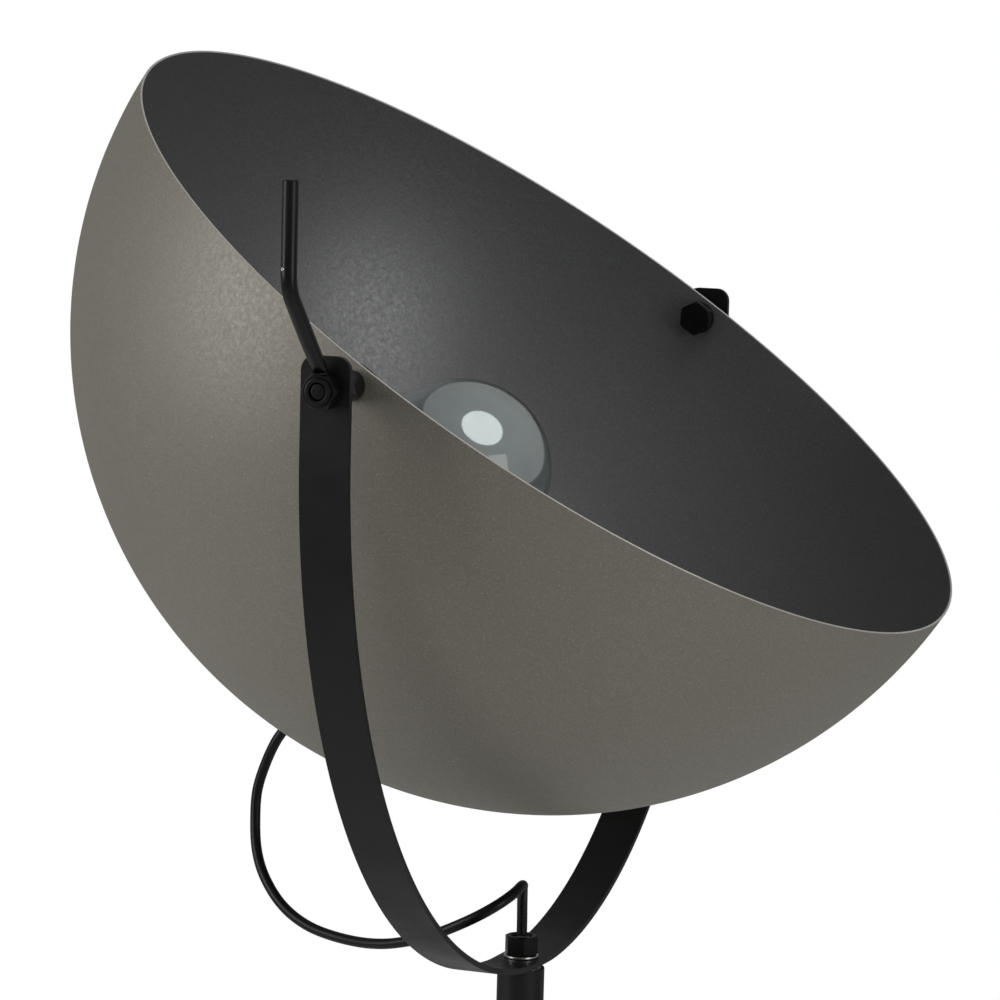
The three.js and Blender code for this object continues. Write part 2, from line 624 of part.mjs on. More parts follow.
// Mains lead, in the lamp's frame: below the hub, down to the floor and to the foot switch.
const SWITCH_PLACE = [62, 138];
const SWITCH_TURN = THREE.MathUtils.degToRad(70);
const LEAD_ROUTE = [
  [0, 0, 595], [0, 0, 540], [1, 0, 460], [2, 0, 380], [2, 1, 300], [1, 2, 220], [0, 2, 150],
  [0, 3, 90], [1, 5, 52], [3, 11, 25], [7, 23, 9], [13, 38, 3.2], [20, 52, 2.9], [29, 63, 3.2],
  [36, 71, 5], [40.6, 79.2, 7],
];
const SWITCH_LEAD_ROUTE = [
  [83.4, 196.8, 7], [87.4, 208, 4.6], [89, 220, 3], [85, 233, 2.9], [74, 241.5, 2.9],
  [60, 243, 2.9], [45, 237, 2.9], [31, 226, 2.9], [18, 213, 2.9], [5, 199, 2.9],
  [-8, 186, 2.9], [-22, 175, 2.9], [-32, 169, 2.9], [-40.4, 166.6, 2.9],
];
const PLUG_LEAD_ROUTE = [
  [-100.6, 106.4, 8.5], [-100.2, 97, 8], [-99, 86, 7.2], [-97, 74, 6.8], [-93.1, 57.8, 6.8],
];
const COIL_PLACE = [-62, 128];
const PLUG_PLACE = [-83, -6];
const PLUG_TURN = THREE.MathUtils.degToRad(99);

function flexTube(points) {
  const path = new THREE.CatmullRomCurve3(points.map(([x, y, z]) => new THREE.Vector3(x, y, z)));
  const steps = Math.min(78, Math.round(path.getLength() / (2.7 * FLEX_DIAMETER)));
  return along(path, FLEX_DIAMETER / 2, steps, 8);
}

function coil() {
  const half = (COIL_ROWS * FLEX_DIAMETER) / 2;
  const turns = ring(COIL_RADIUS + half, COIL_RADIUS - half, 0, COIL_LAYERS * FLEX_DIAMETER, 36);
  return turns.translate(COIL_PLACE[0], COIL_PLACE[1], 0.1);
}

// A tapered sleeve along +X from x = 0, with the flex's bore through it.
function sleeve(length, wide, narrow) {
  const bore = FLEX_DIAMETER / 2 + GAP;
  const points = [[bore, 0], [wide, 0], [narrow, length], [bore, length], [bore, 0]];
  return turned(points, 20).rotateY(Math.PI / 2);
}

function addSwitch(parent) {
  const radius = SWITCH_DIAMETER / 2;
  const button = BUTTON_DIAMETER / 2;
  const wall = 2;
  const baseTop = 5;
  const place = new THREE.Group();
  place.position.set(SWITCH_PLACE[0], SWITCH_PLACE[1], 0);
  place.rotation.z = SWITCH_TURN;
  parent.add(place);

  const rim = radius - wall - GAP;
  const base = [[0, 0], [radius - 1, 0], [radius, 1], [radius, baseTop - 1.5], [rim, baseTop - 1.5]];
  base.push([rim, baseTop], [0, baseTop]);
  add(place, 'switch_base', turned(base, 28), blackPlastic());

  const top = SWITCH_HEIGHT - BUTTON_TRAVEL - 1;
  const low = baseTop - 1.5 + GAP;
  const opening = button + CLEARANCE;
  const cover = [[radius - wall, low], [radius, low], [radius, top * 0.62], [radius * 0.93, top * 0.84]];
  cover.push([radius * 0.78, top], [opening, top], [opening, top - wall]);
  cover.push([radius * 0.76, top - wall], [radius * 0.87, top * 0.76], [radius - wall, top * 0.6]);
  cover.push([radius - wall, low]);
  add(place, 'switch_cover', turned(cover, 28), blackPlastic());

  const lift = baseTop + BUTTON_TRAVEL + 1.5;
  const cap = [[0, lift], [button, lift], [button, SWITCH_HEIGHT - 2.5]];
  cap.push([button * 0.9, SWITCH_HEIGHT - 0.8], [button * 0.6, SWITCH_HEIGHT], [0, SWITCH_HEIGHT]);
  add(place, 'switch_button', turned(cap, 24), blackPlastic());

  const reach = radius + GAP;
  const length = 30;
  const nose = () => sleeve(length, 5.2, 3.9).translate(reach, 0, 7);
  add(place, 'switch_sleeve_out', nose(), rubber());
  add(place, 'switch_sleeve_in', nose().rotateZ(Math.PI), rubber());
}

function plugBody() {
  const half = PLUG_WIDTH / 2;
  const outline = new THREE.Shape();
  outline.moveTo(0, -half);
  outline.lineTo(PLUG_LENGTH * 0.5, -half);
  outline.quadraticCurveTo(PLUG_LENGTH * 0.8, -half, PLUG_LENGTH, -5.5);
  outline.lineTo(PLUG_LENGTH, 5.5);
  outline.quadraticCurveTo(PLUG_LENGTH * 0.8, half, PLUG_LENGTH * 0.5, half);
  outline.lineTo(0, half);
  const bevel = 1.2;
  const options = { depth: PLUG_THICKNESS - 2 * bevel, bevelSize: bevel, bevelThickness: bevel };
  Object.assign(options, { bevelOffset: -bevel, bevelSegments: 2, curveSegments: 8 });
  return new THREE.ExtrudeGeometry(outline, options).translate(0, 0, bevel);
}

function addPlug(parent) {
  const place = new THREE.Group();
  place.position.set(PLUG_PLACE[0], PLUG_PLACE[1], 0);
  place.rotation.z = PLUG_TURN;
  parent.add(place);
  add(place, 'plug_body', plugBody(), blackPlastic());
  for (const [side, name] of [[-1, 'plug_pin_left'], [1, 'plug_pin_right']]) {
    const pin = rod(PIN_DIAMETER / 2, -PIN_LENGTH, -GAP, 1, 20).rotateY(Math.PI / 2);
    pin.translate(0, (side * PIN_SPACING) / 2, PLUG_THICKNESS / 2);
    add(place, name, pin, zinc());
  }
  const nose = sleeve(28, 5.6, 3.9).translate(PLUG_LENGTH + GAP, 0, PLUG_THICKNESS / 2);
  add(place, 'plug_sleeve', nose, rubber());
}

function cordRelief() {
  const bore = FLEX_DIAMETER / 2 + GAP;
  const shank = CABLE_HOLE_RADIUS - GAP;
  const low = hubLowZ - GAP;
  const points = [[bore, low - RELIEF_LENGTH], [3.9, low - RELIEF_LENGTH], [6.4, low - 4]];
  points.push([9, low - 2], [9, low], [shank, low], [shank, low + 12], [bore, low + 12]);
  points.push([bore, low - RELIEF_LENGTH]);
  return turned(points, 20);
}

function addLead(parent) {
  add(parent, 'cord_relief', cordRelief(), rubber());
  add(parent, 'mains_lead', flexTube(LEAD_ROUTE), flexBlack());
  addSwitch(parent);
  add(parent, 'mains_lead_switched', flexTube(SWITCH_LEAD_ROUTE), flexBlack());
  add(parent, 'mains_lead_coil', coil(), flexBlack());
  add(parent, 'mains_lead_end', flexTube(PLUG_LEAD_ROUTE), flexBlack());
  addPlug(parent);
}

// ---- Assembly --------------------------------------------------------------------------------
const footReach = FOOT_RADIUS + footRadius / Math.cos(legSlope);
const shadeReach = shadeRadius - sphereCentre * Math.sin(SHADE_TILT);

const lamp = new THREE.Group();
lamp.position.y = (footReach - shadeReach) / 2; // centres the standing lamp on the origin

const pivot = new THREE.Group();
pivot.position.z = PIVOT_HEIGHT;
lamp.add(pivot);

const head = new THREE.Group();
head.position.x = shadeOffset;
head.rotation.x = SHADE_TILT;
pivot.add(head);

const lever = new THREE.Group();
lever.position.x = shadeOffset;
pivot.add(lever);

add(head, 'shade', shade(), taupe());
add(head, 'cord_grip', cordGrip(), blackPlastic());
add(head, 'stem', stem(), black());
add(head, 'stem_nut', stemNut(), zinc());
add(head, 'holder_cup', holderCup(), blackPlastic());
add(head, 'holder_skirt', holderSkirt(), blackPlastic());
add(head, 'holder_shell', holderShell(), brass());
add(head, 'holder_contact', holderContact(), porcelain());
add(head, 'bulb_glass', bulbGlass(), glass());
add(head, 'bulb_cap', bulbCap(), zinc());
add(head, 'bulb_tip', bulbTip(), porcelain());
add(head, 'filament_stem', filamentStem(), glass());
add(head, 'filaments', filaments(), filamentYellow());
addPivots(head, lever);

add(pivot, 'yoke_strip', yokeStrip(), black());
addSwivelHardware(pivot);
add(pivot, 'head_flex', flexTube(HEAD_FLEX_ROUTE), flexBlack());

addColumn(lamp);
addLegs(lamp);
addLead(lamp);

const object = new THREE.Group();
object.add(lamp);
export default object;
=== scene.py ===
"""The tripod floor lamp's looks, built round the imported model, in metres."""
from math import asin, atan2, cos, pi, radians, sin, sqrt

import bmesh
import bpy
from mathutils import Matrix, Vector


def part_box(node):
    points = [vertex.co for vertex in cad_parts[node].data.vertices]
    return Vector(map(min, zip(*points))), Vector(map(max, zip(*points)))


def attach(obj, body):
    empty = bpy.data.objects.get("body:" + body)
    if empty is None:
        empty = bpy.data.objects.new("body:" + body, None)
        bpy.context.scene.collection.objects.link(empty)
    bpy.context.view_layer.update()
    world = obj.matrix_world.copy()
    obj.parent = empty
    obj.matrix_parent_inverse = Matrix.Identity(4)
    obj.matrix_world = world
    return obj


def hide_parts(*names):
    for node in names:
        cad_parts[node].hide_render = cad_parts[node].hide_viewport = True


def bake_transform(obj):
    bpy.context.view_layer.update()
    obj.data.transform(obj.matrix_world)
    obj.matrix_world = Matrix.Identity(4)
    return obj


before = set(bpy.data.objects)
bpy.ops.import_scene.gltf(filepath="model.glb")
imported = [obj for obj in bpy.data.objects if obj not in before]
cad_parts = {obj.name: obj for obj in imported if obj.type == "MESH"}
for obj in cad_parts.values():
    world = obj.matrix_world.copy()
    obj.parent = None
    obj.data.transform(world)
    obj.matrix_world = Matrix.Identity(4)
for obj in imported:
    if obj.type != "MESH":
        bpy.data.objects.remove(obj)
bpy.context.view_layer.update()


def middle(node):
    """The middle of a CAD node's box."""
    low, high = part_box(node)
    return (low + high) / 2


# ---- Sizes, as in the CAD source ----
MM = 0.001
AXIS = Vector((middle("column_tube").x, middle("column_tube").y, 0))
PIVOT = Vector((AXIS.x, AXIS.y, middle("lever_nut").z))
SHADE_OFFSET = 0.00825
SHADE_TILT = radians(33.8)
SHADE_RADIUS = 0.25
SHADE_WALL = 0.0012
SPHERE_CENTRE = 0.009
RIM_HEIGHT = 0.011
APEX = SPHERE_CENTRE - SHADE_RADIUS
YOKE_HALF = 0.27175
BOW_DEPTH = 0.2955
ARM_STRAIGHT = 0.030
ARM_TOP = 0.016
STRIP_WIDTH = 0.025
STRIP_THICKNESS = 0.003
STRIP_CORNER = 0.007
SEAT_HALF = 0.0135
FLEX_DIAMETER = 0.0056
FLEX_RADIUS = FLEX_DIAMETER / 2
RELIEF_BORE = FLEX_RADIUS + 0.0003
BOLT_HOLE = 0.0044
NIPPLE_HOLE = 0.0054
COIL_RADIUS = 0.033
COIL_PLACE = Vector((-0.062, 0.128, 0))
SWITCH_PLACE = Vector((0.062, 0.138, 0))
SWITCH_TURN = radians(70)
PLUG_PLACE = Vector((-0.083, -0.006, 0))
PLUG_TURN = radians(99)

LAMP = Matrix.Translation(AXIS)
PIVOT_FRAME = Matrix.Translation(PIVOT)
HEAD_CENTRE = Matrix.Translation(PIVOT + Vector((SHADE_OFFSET, 0, 0)))
HEAD = HEAD_CENTRE @ Matrix.Rotation(SHADE_TILT, 4, "X")


# ---- Camera ----
def make_camera():
    right = Vector((0.3699, -0.9287, 0.0258)).normalized()
    forward = Vector((0.9234, 0.3645, -0.12)).normalized()
    up = right.cross(forward)
    data = bpy.data.cameras.new("camera")
    data.lens = 160.06
    data.sensor_width = 36
    data.clip_end = 200
    camera = bpy.data.objects.new("camera", data)
    bpy.context.scene.collection.objects.link(camera)
    turn = Matrix((right, up, -forward)).transposed().to_4x4()
    place = PIVOT + Vector((-2.1483, -0.8292, 0.1988))
    camera.matrix_world = Matrix.Translation(place) @ turn
    bpy.context.scene.camera = camera


# ---- Materials ----
class Finish:
    """A Principled material with its patterns in the row frame's metres."""

    def __init__(self, name, color, roughness, metallic=0.0, **sockets):
        self.material = bpy.data.materials.new(name)
        self.material.use_nodes = True
        self.tree = self.material.node_tree
        self.shader = self.tree.nodes["Principled BSDF"]
        self.shader.inputs["Base Color"].default_value = (*color, 1)
        self.shader.inputs["Roughness"].default_value = roughness
        self.shader.inputs["Metallic"].default_value = metallic
        for key, value in sockets.items():
            self.shader.inputs[key.replace("_", " ")].default_value = value
        self.place = self.tree.nodes.new("ShaderNodeTexCoord").outputs["Object"]

    def link(self, source, target):
        self.tree.links.new(source, target)

    def noise(self, scale, detail=2.0, stretch=None):
        node = self.tree.nodes.new("ShaderNodeTexNoise")
        node.inputs["Scale"].default_value = scale
        node.inputs["Detail"].default_value = detail
        place = self.place
        if stretch:
            mapping = self.tree.nodes.new("ShaderNodeMapping")
            mapping.inputs["Scale"].default_value = stretch
            self.link(place, mapping.inputs["Vector"])
            place = mapping.outputs["Vector"]
        self.link(place, node.inputs["Vector"])
        return node.outputs["Fac"]

    def cells(self, scale):
        node = self.tree.nodes.new("ShaderNodeTexVoronoi")
        node.inputs["Scale"].default_value = scale
        self.link(self.place, node.inputs["Vector"])
        return node

    def ramp(self, source, low, high, start=0.0, end=1.0):
        node = self.tree.nodes.new("ShaderNodeMapRange")
        node.inputs["From Min"].default_value = low
        node.inputs["From Max"].default_value = high
        node.inputs["To Min"].default_value = start
        node.inputs["To Max"].default_value = end
        self.link(source, node.inputs["Value"])
        return node.outputs["Result"]

    def mix(self, factor, first, second):
        """A colour between two, each a colour or another node's output."""
        node = self.tree.nodes.new("ShaderNodeMix")
        node.data_type = "RGBA"
        self.link(factor, node.inputs["Factor"])
        for key, value in (("A", first), ("B", second)):
            socket = next(s for s in node.inputs if s.name == key and s.type == "RGBA")
            if isinstance(value, tuple):
                socket.default_value = (*value, 1)
            else:
                self.link(value, socket)
        return next(s for s in node.outputs if s.type == "RGBA")

    def colour(self, source):
        self.link(source, self.shader.inputs["Base Color"])

    def roughness(self, source):
        self.link(source, self.shader.inputs["Roughness"])

    def bump(self, *heights):
        """Adds bumps, each a height's source and its size in metres."""
        normal = None
        for source, size in heights:
            node = self.tree.nodes.new("ShaderNodeBump")
            node.inputs["Strength"].default_value = 1.0
            node.inputs["Distance"].default_value = size
            self.link(source, node.inputs["Height"])
            if normal:
                self.link(normal, node.inputs["Normal"])
            normal = node.outputs["Normal"]
        self.link(normal, self.shader.inputs["Normal"])


def metallic_paint(name, dark, light, fleck, roughness, metallic):
    """Sprayed metallic paint: orange peel, soft mottling and fine bright flecks."""
    made = Finish(name, light, roughness, metallic)
    mottle = made.ramp(made.noise(14.0, 3.0), 0.3, 0.7)
    grain = made.ramp(made.noise(950.0, 2.0), 0.25, 0.75)
    cells = made.cells(1150.0)
    spark = made.ramp(cells.outputs["Distance"], 0.0, 0.34, 1.0, 0.0)
    pick = made.ramp(cells.outputs["Color"], 0.62, 0.95)
    both = made.tree.nodes.new("ShaderNodeMath")
    both.operation = "MULTIPLY"
    made.link(spark, both.inputs[0])
    made.link(pick, both.inputs[1])
    base = made.mix(grain, dark, light)
    soft = made.mix(made.ramp(mottle, 0.0, 1.0, 0.0, 0.25), base, dark)
    made.colour(made.mix(both.outputs[0], soft, fleck))
    made.roughness(made.ramp(made.noise(420.0, 2.0), 0.3, 0.7, roughness - 0.05, roughness + 0.07))
    made.bump((made.noise(330.0, 2.0), 0.00006), (made.noise(1300.0, 1.0), 0.000025))
    return made.material


def powder_coat(name, colour, wear, roughness, grain=1500.0, size=0.00003, metallic=0.0,
                specular=0.5):
    """Satin powder coat: a fine pebble, faint cloudiness and lighter specks."""
    made = Finish(name, colour, roughness, metallic, Specular_IOR_Level=specular)
    cloud = made.ramp(made.noise(32.0, 4.0), 0.35, 0.7)
    speck = made.ramp(made.noise(grain, 2.0), 0.62, 0.78)
    base = made.mix(made.ramp(cloud, 0.0, 1.0, 0.0, 0.35), colour, wear)
    made.colour(made.mix(speck, base, wear))
    made.roughness(made.ramp(cloud, 0.0, 1.0, roughness - 0.05, roughness + 0.08))
    made.bump((made.noise(grain, 2.0), size), (made.noise(160.0, 2.0), size))
    return made.material


def bare_metal(name, colour, tarnish, roughness):
    """Plated or turned metal with fine scratches and faint tarnish."""
    made = Finish(name, colour, roughness, 1.0)
    cloud = made.ramp(made.noise(120.0, 4.0), 0.4, 0.75)
    lines = made.noise(260.0, 3.0, (1.0, 1.0, 14.0))
    made.colour(made.mix(made.ramp(cloud, 0.0, 1.0, 0.0, 0.5), colour, tarnish))
    made.roughness(made.ramp(lines, 0.3, 0.7, roughness - 0.08, roughness + 0.12))
    made.bump((lines, 0.00001))
    return made.material


def moulded(name, colour, light, roughness, grain=700.0, size=0.00003, specular=0.5):
    """Moulded plastic or rubber with a spark-eroded grain."""
    made = Finish(name, colour, roughness, Specular_IOR_Level=specular)
    cloud = made.ramp(made.noise(55.0, 3.0), 0.35, 0.7)
    made.colour(made.mix(made.ramp(cloud, 0.0, 1.0, 0.0, 0.6), colour, light))
    made.roughness(made.ramp(made.noise(grain, 2.0), 0.3, 0.7, roughness - 0.06, roughness + 0.08))
    made.bump((made.noise(grain, 3.0), size))
    return made.material


def clear_glass(name, colour):
    made = Finish(name, colour, 0.0, 0.0, Transmission_Weight=1.0, IOR=1.45)
    made.bump((made.noise(28.0, 1.0), 0.00001))
    return made.material


def silvering(name):
    """A mirror coat inside the glass, thinner and duller in faint clouds."""
    made = Finish(name, (0.7, 0.71, 0.71), 0.06, 0.62)
    cloud = made.ramp(made.noise(45.0, 4.0), 0.35, 0.75)
    made.colour(made.mix(cloud, (0.88, 0.88, 0.87), (0.76, 0.765, 0.76)))
    made.roughness(made.ramp(made.noise(90.0, 3.0), 0.3, 0.7, 0.04, 0.1))
    return made.material


PAINT_OUT = metallic_paint("paint_taupe", (0.172, 0.16, 0.132), (0.228, 0.212, 0.178),
                           (0.6, 0.57, 0.52), 0.52, 0.3)
PAINT_IN = metallic_paint("paint_grey_inside", (0.125, 0.126, 0.128), (0.17, 0.172, 0.175),
                          (0.42, 0.43, 0.45), 0.42, 0.5)
# The rim band gets a lighter grey than the paint on either side of it.
PAINT_RIM = powder_coat("rim_band_light_grey", (0.5, 0.48, 0.45), (0.62, 0.6, 0.57), 0.4,
                        metallic=0.4)
BLACK_COAT = powder_coat("black_powder_coat", (0.0065, 0.0065, 0.0065), (0.013, 0.013, 0.013), 0.42,
                         specular=0.22)
BLACK_OXIDE = powder_coat("black_oxide", (0.003, 0.003, 0.003), (0.008, 0.008, 0.008), 0.32,
                          2200.0, 0.00002, specular=0.22)
ZINC = bare_metal("zinc_plate", (0.72, 0.71, 0.68), (0.5, 0.49, 0.46), 0.26)
NICKEL = bare_metal("nickel_plate", (0.66, 0.63, 0.58), (0.45, 0.42, 0.38), 0.2)
BRASS = bare_metal("brass", (0.78, 0.56, 0.25), (0.45, 0.3, 0.13), 0.28)
PORCELAIN = moulded("porcelain", (0.76, 0.73, 0.67), (0.68, 0.64, 0.57), 0.28, 300.0, 0.00002)
GLASS = clear_glass("bulb_glass", (0.93, 0.985, 0.98))
MIRROR = silvering("bulb_silvering")
PHOSPHOR = moulded("filament_phosphor", (0.86, 0.56, 0.13), (0.95, 0.68, 0.24), 0.5)
PLASTIC = moulded("black_plastic", (0.008, 0.008, 0.0085), (0.015, 0.015, 0.016), 0.42)
RUBBER = moulded("rubber", (0.007, 0.007, 0.007), (0.016, 0.016, 0.015), 0.68, 500.0, 0.00006)
FLEX = moulded("flex_sheath", (0.003, 0.003, 0.003), (0.006, 0.006, 0.006), 0.36,
               900.0, 0.00002, 0.2)

# A look is a slot name and the materials a piece takes.
METAL_LOOK = ("black_metal", BLACK_OXIDE)
COAT_LOOK = ("black_powder", BLACK_COAT)
PLASTIC_LOOK = ("black_plastic", PLASTIC)
RUBBER_LOOK = ("rubber", RUBBER)
ZINC_LOOK = ("zinc", ZINC)
GLASS_LOOK = ("bulb_glass", GLASS)
FLEX_LOOK = ("flex", FLEX)


# ---- Mesh building ----
def mesh_of(rings, wrap=True, bands=None, sharp=38):
    """A mesh of quads between rings of points, each ring joined to the next."""
    made = bmesh.new()
    rows = [[made.verts.new(p) for p in ring] for ring in rings]
    for index, (low, high) in enumerate(zip(rows, rows[1:])):
        count = len(low)
        for i in range(count if wrap else count - 1):
            j = (i + 1) % count
            face = made.faces.new((low[i], low[j], high[j], high[i]))
            if bands:
                face.material_index = bands[index]
    return finished_mesh(made, sharp)


def finished_mesh(made, sharp=38):
    """A mesh from a bmesh, closed up, facing out and smooth but for its sharp edges."""
    bmesh.ops.remove_doubles(made, verts=made.verts, dist=1e-7)
    bmesh.ops.recalc_face_normals(made, faces=made.faces)
    for face in made.faces:
        face.smooth = True
    for edge in made.edges:
        if len(edge.link_faces) == 2:
            edge.smooth = edge.calc_face_angle(0) < radians(sharp)
    mesh = bpy.data.meshes.new("mesh")
    made.to_mesh(mesh)
    made.free()
    return mesh


def rounded(points, radius, steps=3):
    """An open line of [radius, z] points with its corners rounded off."""
    made = [points[0]]
    for before, here, after in zip(points, points[1:], points[2:]):
        here = Vector(here)
        back = Vector(before) - here
        ahead = Vector(after) - here
        reach = min(radius, back.length * 0.45, ahead.length * 0.45)
        start = here + back.normalized() * reach
        end = here + ahead.normalized() * reach
        for i in range(steps + 1):
            t = i / steps
            made.append(tuple(start * (1 - t) ** 2 + here * (2 * t * (1 - t)) + end * t * t))
    made.append(points[-1])
    return made


def turned(profile, segments=64, bands=None, sharp=38):
    """A turned mesh about Z from [radius, z] points."""
    rings = []
    for radius, z in profile:
        angles = (2 * pi * i / segments for i in range(segments))
        rings.append([(radius * cos(a), radius * sin(a), z) for a in angles])
    return mesh_of(rings, True, bands, sharp)


def ring_profile(inner, outer, low, high):
    """A closed washer or tube section, beginning on its inside."""
    half = (low + high) / 2
    return [(inner, half), (inner, low), (outer, low), (outer, high), (inner, high), (inner, half)]


def washer(inner, outer, low, high, segments=64, edge=0.0003):
    return turned(rounded(ring_profile(inner, outer, low, high), edge), segments)


def hexagonal(across, low, high, bore=0.0, countersink=0.0):
    """A nut about Z with chamfered ends, flats facing +X and -X, or a bolt's head with no bore."""
    per_side = 16
    flat = across / 2
    circle = flat * 0.985
    rings = [[] for _ in range(10)]
    for i in range(6 * per_side):
        angle = 2 * pi * i / (6 * per_side)
        off = (angle + pi / 6) % (pi / 3) - pi / 6
        reach = flat / cos(off)
        drop = max(0.0, reach - circle) * 0.62
        along = Vector((cos(angle), sin(angle), 0))
        sink = min(countersink, (high - low) / 3)
        stations = [(bore, (low + high) / 2), (bore, low + sink), (bore + sink, low), (circle, low)]
        stations += [(reach, low + drop), (reach, high - drop), (circle, high)]
        stations += [(bore + sink, high), (bore, high - sink), (bore, (low + high) / 2)]
        for ring, (radius, z) in zip(rings, stations):
            ring.append(along * radius + Vector((0, 0, z)))
    return mesh_of(rings, sharp=24)


def prism(outline, low, high):
    """A solid from an outline of (x, y) points, from one height to another."""
    made = bmesh.new()
    floor = [made.verts.new((x, y, low)) for x, y in outline]
    ceiling = [made.verts.new((x, y, high)) for x, y in outline]
    made.faces.new(floor)
    made.faces.new(ceiling)
    count = len(outline)
    for i in range(count):
        j = (i + 1) % count
        made.faces.new((floor[i], floor[j], ceiling[j], ceiling[i]))
    return finished_mesh(made)


def smooth_line(points, per_span=8):
    """A Catmull-Rom line through the points, centripetal, as the CAD tubes follow."""
    points = [Vector(p) for p in points]
    ends = [2 * points[0] - points[1]] + points + [2 * points[-1] - points[-2]]
    made = []
    for p0, p1, p2, p3 in zip(ends, ends[1:], ends[2:], ends[3:]):
        t1 = (p1 - p0).length ** 0.5
        t2 = t1 + (p2 - p1).length ** 0.5
        t3 = t2 + (p3 - p2).length ** 0.5
        for i in range(per_span):
            t = t1 + (t2 - t1) * i / per_span
            a1 = p0 * ((t1 - t) / t1) + p1 * (t / t1)
            a2 = p1 * ((t2 - t) / (t2 - t1)) + p2 * ((t - t1) / (t2 - t1))
            a3 = p2 * ((t3 - t) / (t3 - t2)) + p3 * ((t - t2) / (t3 - t2))
            b1 = a1 * ((t2 - t) / t2) + a2 * (t / t2)
            b2 = a2 * ((t3 - t) / (t3 - t1)) + a3 * ((t - t1) / (t3 - t1))
            made.append(b1 * ((t2 - t) / (t2 - t1)) + b2 * ((t - t1) / (t2 - t1)))
    made.append(points[-1])
    return made


def tube(path, radius, sides=20, dome=0.0):
    """A round tube along a path, closed at its ends, with no twist."""
    rings = []
    up = Vector((0, 0, 1))
    first = (path[1] - path[0]).normalized()
    side = first.cross(up if abs(first.z) < 0.9 else Vector((1, 0, 0))).normalized()
    for i, point in enumerate(path):
        ahead = (path[min(i + 1, len(path) - 1)] - path[max(i - 1, 0)]).normalized()
        side = (side - ahead * side.dot(ahead)).normalized()
        other = ahead.cross(side)
        ring = []
        for k in range(sides):
            angle = 2 * pi * k / sides
            ring.append(point + (side * cos(angle) + other * sin(angle)) * radius)
        if i == 0:
            rings.append([point - ahead * dome] * sides)
        rings.append(ring)
    rings.append([path[-1] + ahead * dome] * sides)
    return mesh_of(rings, sharp=50)


# ---- Making pieces ----
def around(radius, angle, z):
    """The point at an angle round Z."""
    return Vector((radius * cos(angle), radius * sin(angle), z))


def shift(x, y, z):
    return Matrix.Translation((x, y, z))


def spin(angle, axis):
    return Matrix.Rotation(angle, 4, axis)


def bevel(width, steps=2, angle=30):
    return ("BEVEL", {"width": width, "segments": steps, "limit_method": "ANGLE",
                      "angle_limit": radians(angle), "use_clamp_overlap": True})


def holes(*cutters):
    return [("BOOLEAN", {"operation": "DIFFERENCE", "solver": "EXACT", "object": c})
            for c in cutters]


def cutter(radius, low, high, place, segments=32):
    """A round cutting tool about Z at a place."""
    profile = [(0, low), (radius, low), (radius, high), (0, high)]
    tool = bpy.data.objects.new("tool", turned(profile, segments))
    tool.data.transform(place)
    bpy.context.scene.collection.objects.link(tool)
    return tool


def piece(name, mesh, place, body, look, nodes=(), modifiers=()):
    """A finished piece that rides on a body and stands for CAD nodes."""
    slot, *materials = look
    mesh.transform(place)
    made = bpy.data.objects.new(name, mesh)
    bpy.context.scene.collection.objects.link(made)
    for material in materials:
        mesh.materials.append(material)
    apply_modifiers(made, modifiers)
    made.data.name = name
    weigh = made.modifiers.new("flats", "WEIGHTED_NORMAL")
    weigh.keep_sharp = True
    if body:
        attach(made, body)
    if nodes:
        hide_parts(*nodes)
    return made


def head_piece(name, mesh, *rest):
    return piece(name, mesh, HEAD, "shade_head", *rest)


def apply_modifiers(made, modifiers):
    tools = set()
    for kind, settings in modifiers:
        modifier = made.modifiers.new(kind.lower(), kind)
        for key, value in settings.items():
            setattr(modifier, key, value)
            if key == "object":
                tools.add(value)
    if not modifiers:
        return
    graph = bpy.context.evaluated_depsgraph_get()
    mesh = bpy.data.meshes.new_from_object(made.evaluated_get(graph))
    made.modifiers.clear()
    made.data = mesh
    for tool in tools:
        bpy.data.objects.remove(tool)


def outward(side):
    """Turns a piece built about Z to point out of the shade at -X or +X."""
    return spin(side * pi / 2, "Y")


# ---- Cords ----
# In the pivot's frame, millimetres.
HEAD_FLEX_ROUTE = [
    (8, 144, -215), (8, 148, -221), (9, 154, -233), (9, 159, -249), (7, 159, -265),
    (3, 156, -280), (-3, 149, -292), (-11, 135, -305), (-20, 116, -313), (-30, 90, -316),
    (-40, 63, -314), (-47, 38, -307), (-51, 20, -299), (-50, 5, -291), (-44, -4, -285),
    (-34, -8, -281), (-22, -8, -279), (-11, -4, -283), (-3, -1, -293), (0, 0, -303), (0, 0, -310),
]
# In the lamp's frame, millimetres.
LEAD_ROUTE = [
    (0, 0, 595), (0, 0, 540), (1, 0, 460), (2, 0, 380), (2, 1, 300), (1, 2, 220), (0, 2, 150),
    (0, 3, 90), (1, 5, 52), (3, 11, 25), (7, 23, 9), (13, 38, 3.2), (20, 52, 2.9), (29, 63, 3.2),
    (36, 71, 5), (40.6, 79.2, 7),
]
SWITCH_LEAD_ROUTE = [
    (83.4, 196.8, 7), (87.4, 208, 4.6), (89, 220, 3), (85, 233, 2.9), (74, 241.5, 2.9),
    (60, 243, 2.9), (45, 237, 2.9), (31, 226, 2.9), (18, 213, 2.9), (5, 199, 2.9),
    (-8, 186, 2.9), (-22, 175, 2.9), (-32, 169, 2.9), (-40.4, 166.6, 2.9),
]
PLUG_LEAD_ROUTE = [
    (-100.6, 106.4, 8.5), (-100.2, 97, 8), (-99, 86, 7.2), (-97, 74, 6.8), (-93.1, 57.8, 6.8),
]


def route(points, frame_matrix):
    return [frame_matrix @ (Vector(p) * MM) for p in points]


